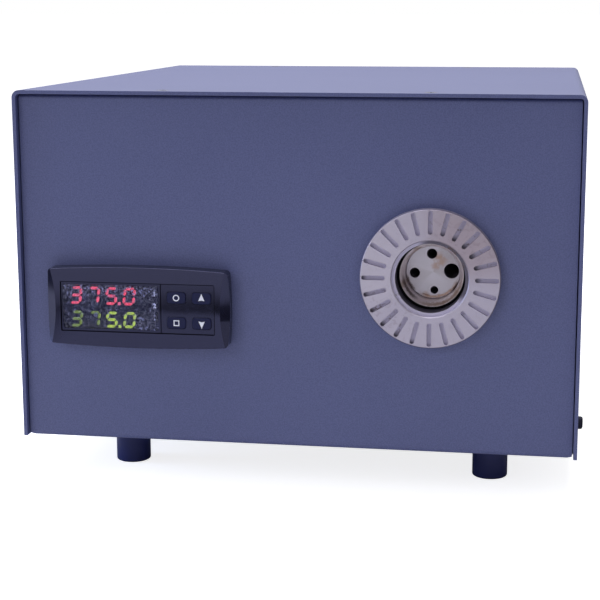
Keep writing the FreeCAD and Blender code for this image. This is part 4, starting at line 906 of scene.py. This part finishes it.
# Colour, colour where it is brightest, strength, the solid, and how dim its row starts.
LIT_BARS = {
    "digit_red": (screen(228, 36, 68), screen(255, 96, 126), 1.25, "upper_digits", 1.0),
    "digit_green": (screen(150, 182, 30), screen(214, 240, 70), 1.1, "lower_digits", 0.5),
    "mark_pale": (screen(170, 174, 206), screen(206, 210, 236), 1.0, "indicator_marks", 1.0),
}


def lit(name, colour, hot, strength, node, dim):
    """A lit segment whose light is a little uneven, and dimmer where its row starts."""
    material, shader, wire = start(name)
    low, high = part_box(node)
    point = millimetres(wire, tuple(low))
    glow = blend(colour, hot, step(grain(point, LIT_PATCH), *LIT_STEP))
    if dim < 1.0:
        past_start = step(part(point, "X"), *shares_of((high.x - low.x) / MM, DIM_PART))
        glow = blend(darker(colour, dim), glow, past_start)
    feed(shader, {"Base Color": UNLIT, "Roughness": 0.4,
                  "Emission Color": glow, "Emission Strength": strength})
    return material


for name, settings in LIT_BARS.items():
    finishes[name] = lit(name, *settings)
print("lit:", ", ".join(LIT_BARS))

# %% [markdown]
# Fibre board, circuit board and galvanised sheet each have a pattern of their own: fibres,
# tracks and crystals. They lie inside the case, where only the vents and the gap round the
# nose show them, but a finish costs one function each. Near the well's front the fibre is
# painted dark: painted shade in that gap.

# %% Boards, sheet and fibre
FIBRE_LENGTHS = (1.0, 0.12, 1.0)
FIBRE_WIDTH = 0.7
FIBRE_DEPTH = 0.15
FIBRE_TONES = (screen(216, 208, 190), screen(240, 236, 226))
GAP_PAINTED_SHADE = screen(36, 32, 42)
GAP_SHADE_DEPTHS = (40.0, 24.0)
TRACKS = 0.5
TRACK_EDGE = (0.55, 0.6)
TRACK_DEPTH = 0.03
BOARD_TONES = (screen(24, 92, 48), screen(46, 128, 66))
CRYSTALS = 0.16
ZINC_TONES = (screen(150, 154, 160), screen(186, 190, 194))
ZINC_ROUGHNESS = 0.35
ZINC_UNEVEN = 0.2
ZINC_PATCH = 3.0


def fibre(name):
    """Pressed fibre, painted dark near the well's front as painted shade."""
    material, shader, wire = start(name)
    point = millimetres(wire)
    fibres = grain(vector_math(point, "MULTIPLY", {1: FIBRE_LENGTHS}), FIBRE_WIDTH, detail=4.0)
    # Painted shade: the fibre darkens toward the well's front, where the gap shows it.
    near_front = step(depth_from(point, plate_face_y), *GAP_SHADE_DEPTHS)
    feed(shader, {"Base Color": blend(blend(*FIBRE_TONES, fibres), GAP_PAINTED_SHADE, near_front),
                  "Roughness": 0.95, "Normal": relief(fibres, FIBRE_DEPTH)})
    return material


def circuit_board(name):
    """Green lacquer over raised tracks."""
    material, shader, wire = start(name)
    point = millimetres(wire)
    cells = wire.node("ShaderNodeTexVoronoi", {"distance": "CHEBYCHEV"},
                      {"Vector": point, "Scale": TRACKS, "Randomness": 0.3})
    tracks = step(cells, *TRACK_EDGE)
    feed(shader, {"Base Color": blend(*BOARD_TONES, tracks), "Roughness": 0.35,
                  "Normal": relief(tracks, TRACK_DEPTH)})
    return material


def galvanised(name):
    """Zinc coated sheet with its crystals."""
    material, shader, wire = start(name)
    point = millimetres(wire)
    crystal = wire.node("ShaderNodeTexVoronoi", {}, {"Vector": point, "Scale": CRYSTALS}, output=1)
    paleness = wire.node("ShaderNodeRGBToBW", {}, {0: crystal})
    feed(shader, {"Base Color": blend(*ZINC_TONES, paleness), "Metallic": 1.0,
                  "Roughness": ZINC_ROUGHNESS + grain(point, ZINC_PATCH) * ZINC_UNEVEN})
    return material


finishes["insulation"] = fibre("insulation")
finishes["board_green"] = circuit_board("board_green")
finishes["bare_sheet"] = galvanised("bare_sheet")
print("finishes so far:", len(finishes))

# %% [markdown]
# Every solid names the slot that its finish goes in. Giving out the finishes is then one
# loop over the record, and a slot that was forgotten stops the script.

# %% Give out the finishes


def dress(piece, finish):
    """Give a piece one finish and no other."""
    piece.data.materials.clear()
    piece.data.materials.append(finishes[finish])


for row in frame["record"]["subparts"]:
    dress(nodes[row["node"]], row["material_slot"])

# %% [markdown]
# The printed symbols on the keys are ink a few hundredths of a millimetre thick. Each one
# starts as a flat polygon on its key, gets its hole or notch in edit mode, and is extruded
# by the thickness of the ink.

# %% Tools for the key symbols
INK = 0.06 * MM
STROKE = 0.42 * MM
ARROW_RADIUS = 1.6 * MM
ARROW_NOTCH = 0.14
ARROW_STRETCH = (0.92, 1.0, 1.25)


def only(piece):
    """Select one piece alone and make it the active one."""
    bpy.ops.object.select_all(action="DESELECT")
    piece.select_set(True)
    bpy.context.view_layer.objects.active = piece


def flat_polygon(corners, radius, x, y, z, turn):
    """A filled polygon that faces the front, in edit mode with all selected."""
    bpy.ops.object.select_all(action="DESELECT")
    bpy.ops.mesh.primitive_circle_add(vertices=corners, radius=radius, fill_type="NGON",
                                      location=(x, y, z), rotation=(math.pi / 2, turn, 0.0))
    bpy.ops.object.mode_set(mode="EDIT")
    bpy.ops.mesh.select_mode(type="FACE")
    bpy.ops.mesh.select_all(action="SELECT")
    return bpy.context.object


def thicken(depth):
    """In edit mode, extrude the whole flat shape toward the front, and leave edit mode."""
    bpy.ops.mesh.select_all(action="SELECT")
    bpy.ops.mesh.extrude_region_move(TRANSFORM_OT_translate={"value": (0.0, -depth, 0.0)})
    bpy.ops.mesh.select_all(action="SELECT")
    bpy.ops.mesh.normals_make_consistent(inside=False)
    bpy.ops.object.mode_set(mode="OBJECT")


def outline_symbol(corners, radius, x, y, z, turn=0.0):
    """A ring or frame: a polygon inset by its stroke, with the middle taken out."""
    piece = flat_polygon(corners, radius, x, y, z, turn)
    bpy.ops.mesh.inset(thickness=STROKE)
    bpy.ops.mesh.delete(type="FACE")
    thicken(INK)
    return piece


def arrow_symbol(x, y, z, turn=0.0):
    """A solid arrowhead: a triangle whose base has a notch."""
    piece = flat_polygon(3, ARROW_RADIUS, x, y, z, turn)
    points_up = math.cos(turn)
    bpy.ops.mesh.select_all(action="DESELECT")
    bpy.ops.mesh.select_mode(type="EDGE")
    bpy.ops.object.mode_set(mode="OBJECT")
    edges = piece.data.edges
    heights = [sum((piece.matrix_world @ piece.data.vertices[v].co).z for v in edge.vertices)
               for edge in edges]
    base = heights.index(min(heights) if points_up > 0 else max(heights))
    edges[base].select = True
    bpy.ops.object.mode_set(mode="EDIT")
    bpy.ops.mesh.subdivide(number_cuts=1)
    bpy.ops.object.mode_set(mode="OBJECT")
    newest = piece.data.vertices[-1].index
    for vertex in piece.data.vertices:
        vertex.select = vertex.index == newest
    for edge in piece.data.edges:
        edge.select = False
    bpy.ops.object.mode_set(mode="EDIT")
    bpy.ops.mesh.select_mode(type="VERT")
    bpy.ops.transform.translate(value=(0.0, 0.0, points_up * ARROW_RADIUS * ARROW_NOTCH))
    bpy.ops.mesh.select_all(action="SELECT")
    bpy.ops.transform.resize(value=ARROW_STRETCH, center_override=(x, y, z))
    thicken(INK)
    return piece


print("ink", round(INK / MM, 3), "mm thick")

# %% [markdown]
# Two keys carry plain outlines, a ring and a square, and the other two an arrow up and an
# arrow down. Each symbol lies on its key's face and rides on that key, so that it goes in
# with it when the key is pressed.

# %% Print the key symbols
RING_CORNERS = 32
RING_RADIUS = 1.35 * MM
FRAME_RADIUS = 1.7 * MM
SYMBOLS = {
    "key_set": lambda *at: outline_symbol(RING_CORNERS, RING_RADIUS, *at),
    "key_mode": lambda *at: outline_symbol(4, FRAME_RADIUS, *at, turn=math.pi / 4),
    "key_up": lambda *at: arrow_symbol(*at),
    "key_down": lambda *at: arrow_symbol(*at, turn=math.pi),
}


def settle(piece, name, finish, body):
    """Put a small piece's place into its mesh, name it, dress it and let it ride."""
    only(piece)
    bpy.ops.object.transform_apply(location=True, rotation=True, scale=True)
    piece.name = name
    dress(piece, finish)
    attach(piece, body)


for key, make in SYMBOLS.items():
    place = middle(key)
    settle(make(place.x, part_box(key)[0].y, place.z), key + "_symbol", "key_print", key)
print("key symbols printed:", len(SYMBOLS))

# %% [markdown]
# Beside the digits the display shows two plain small numerals and a dot, one above the
# other. The solid model has square dots in their places. Each one is drawn as text, made a
# mesh, stood upright and extruded to the dots' thickness, and together they replace the dots.

# %% Draw the display's numerals
NUMERAL_HEIGHT = 1.8 * MM
NUMERAL_OF_SIZE = 0.7
NUMERAL_WEIGHT = 0.09 * MM
NUMERALS = ["1", "2", "."]


def numeral(character, x, y, z, thickness):
    """A plain numeral that faces the front, its back at y."""
    bpy.ops.object.select_all(action="DESELECT")
    bpy.ops.object.text_add()
    drawn = bpy.context.object
    drawn.data.body = character
    drawn.data.size = NUMERAL_HEIGHT / NUMERAL_OF_SIZE
    drawn.data.offset = NUMERAL_WEIGHT
    drawn.data.align_x = "CENTER"
    drawn.data.align_y = "CENTER"
    bpy.ops.object.convert(target="MESH")
    piece = bpy.context.object
    piece.rotation_euler = (math.pi / 2, 0.0, 0.0)
    piece.location = (x, y, z)
    bpy.ops.object.transform_apply(location=True, rotation=True, scale=True)
    bpy.ops.object.mode_set(mode="EDIT")
    thicken(thickness)
    return piece


def mark_heights():
    """The middles of the square dots, from the top down."""
    levels = {round(v.co.z, 5) for v in nodes["indicator_marks"].data.vertices}
    levels = sorted(levels, reverse=True)
    return [(high + low) / 2 for high, low in zip(levels[0::2], levels[1::2])]


marks_front, marks_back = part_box("indicator_marks")
mark_pieces = [numeral(character, middle("indicator_marks").x, marks_back.y, z,
                       marks_back.y - marks_front.y)
               for character, z in zip(NUMERALS, mark_heights())]
bpy.ops.object.select_all(action="DESELECT")
for piece in mark_pieces:
    piece.select_set(True)
bpy.context.view_layer.objects.active = mark_pieces[0]
bpy.ops.object.join()
settle(mark_pieces[0], "display_numerals", "mark_pale", "instrument")
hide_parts("indicator_marks")
print("numerals drawn:", " ".join(NUMERALS))

# %% [markdown]
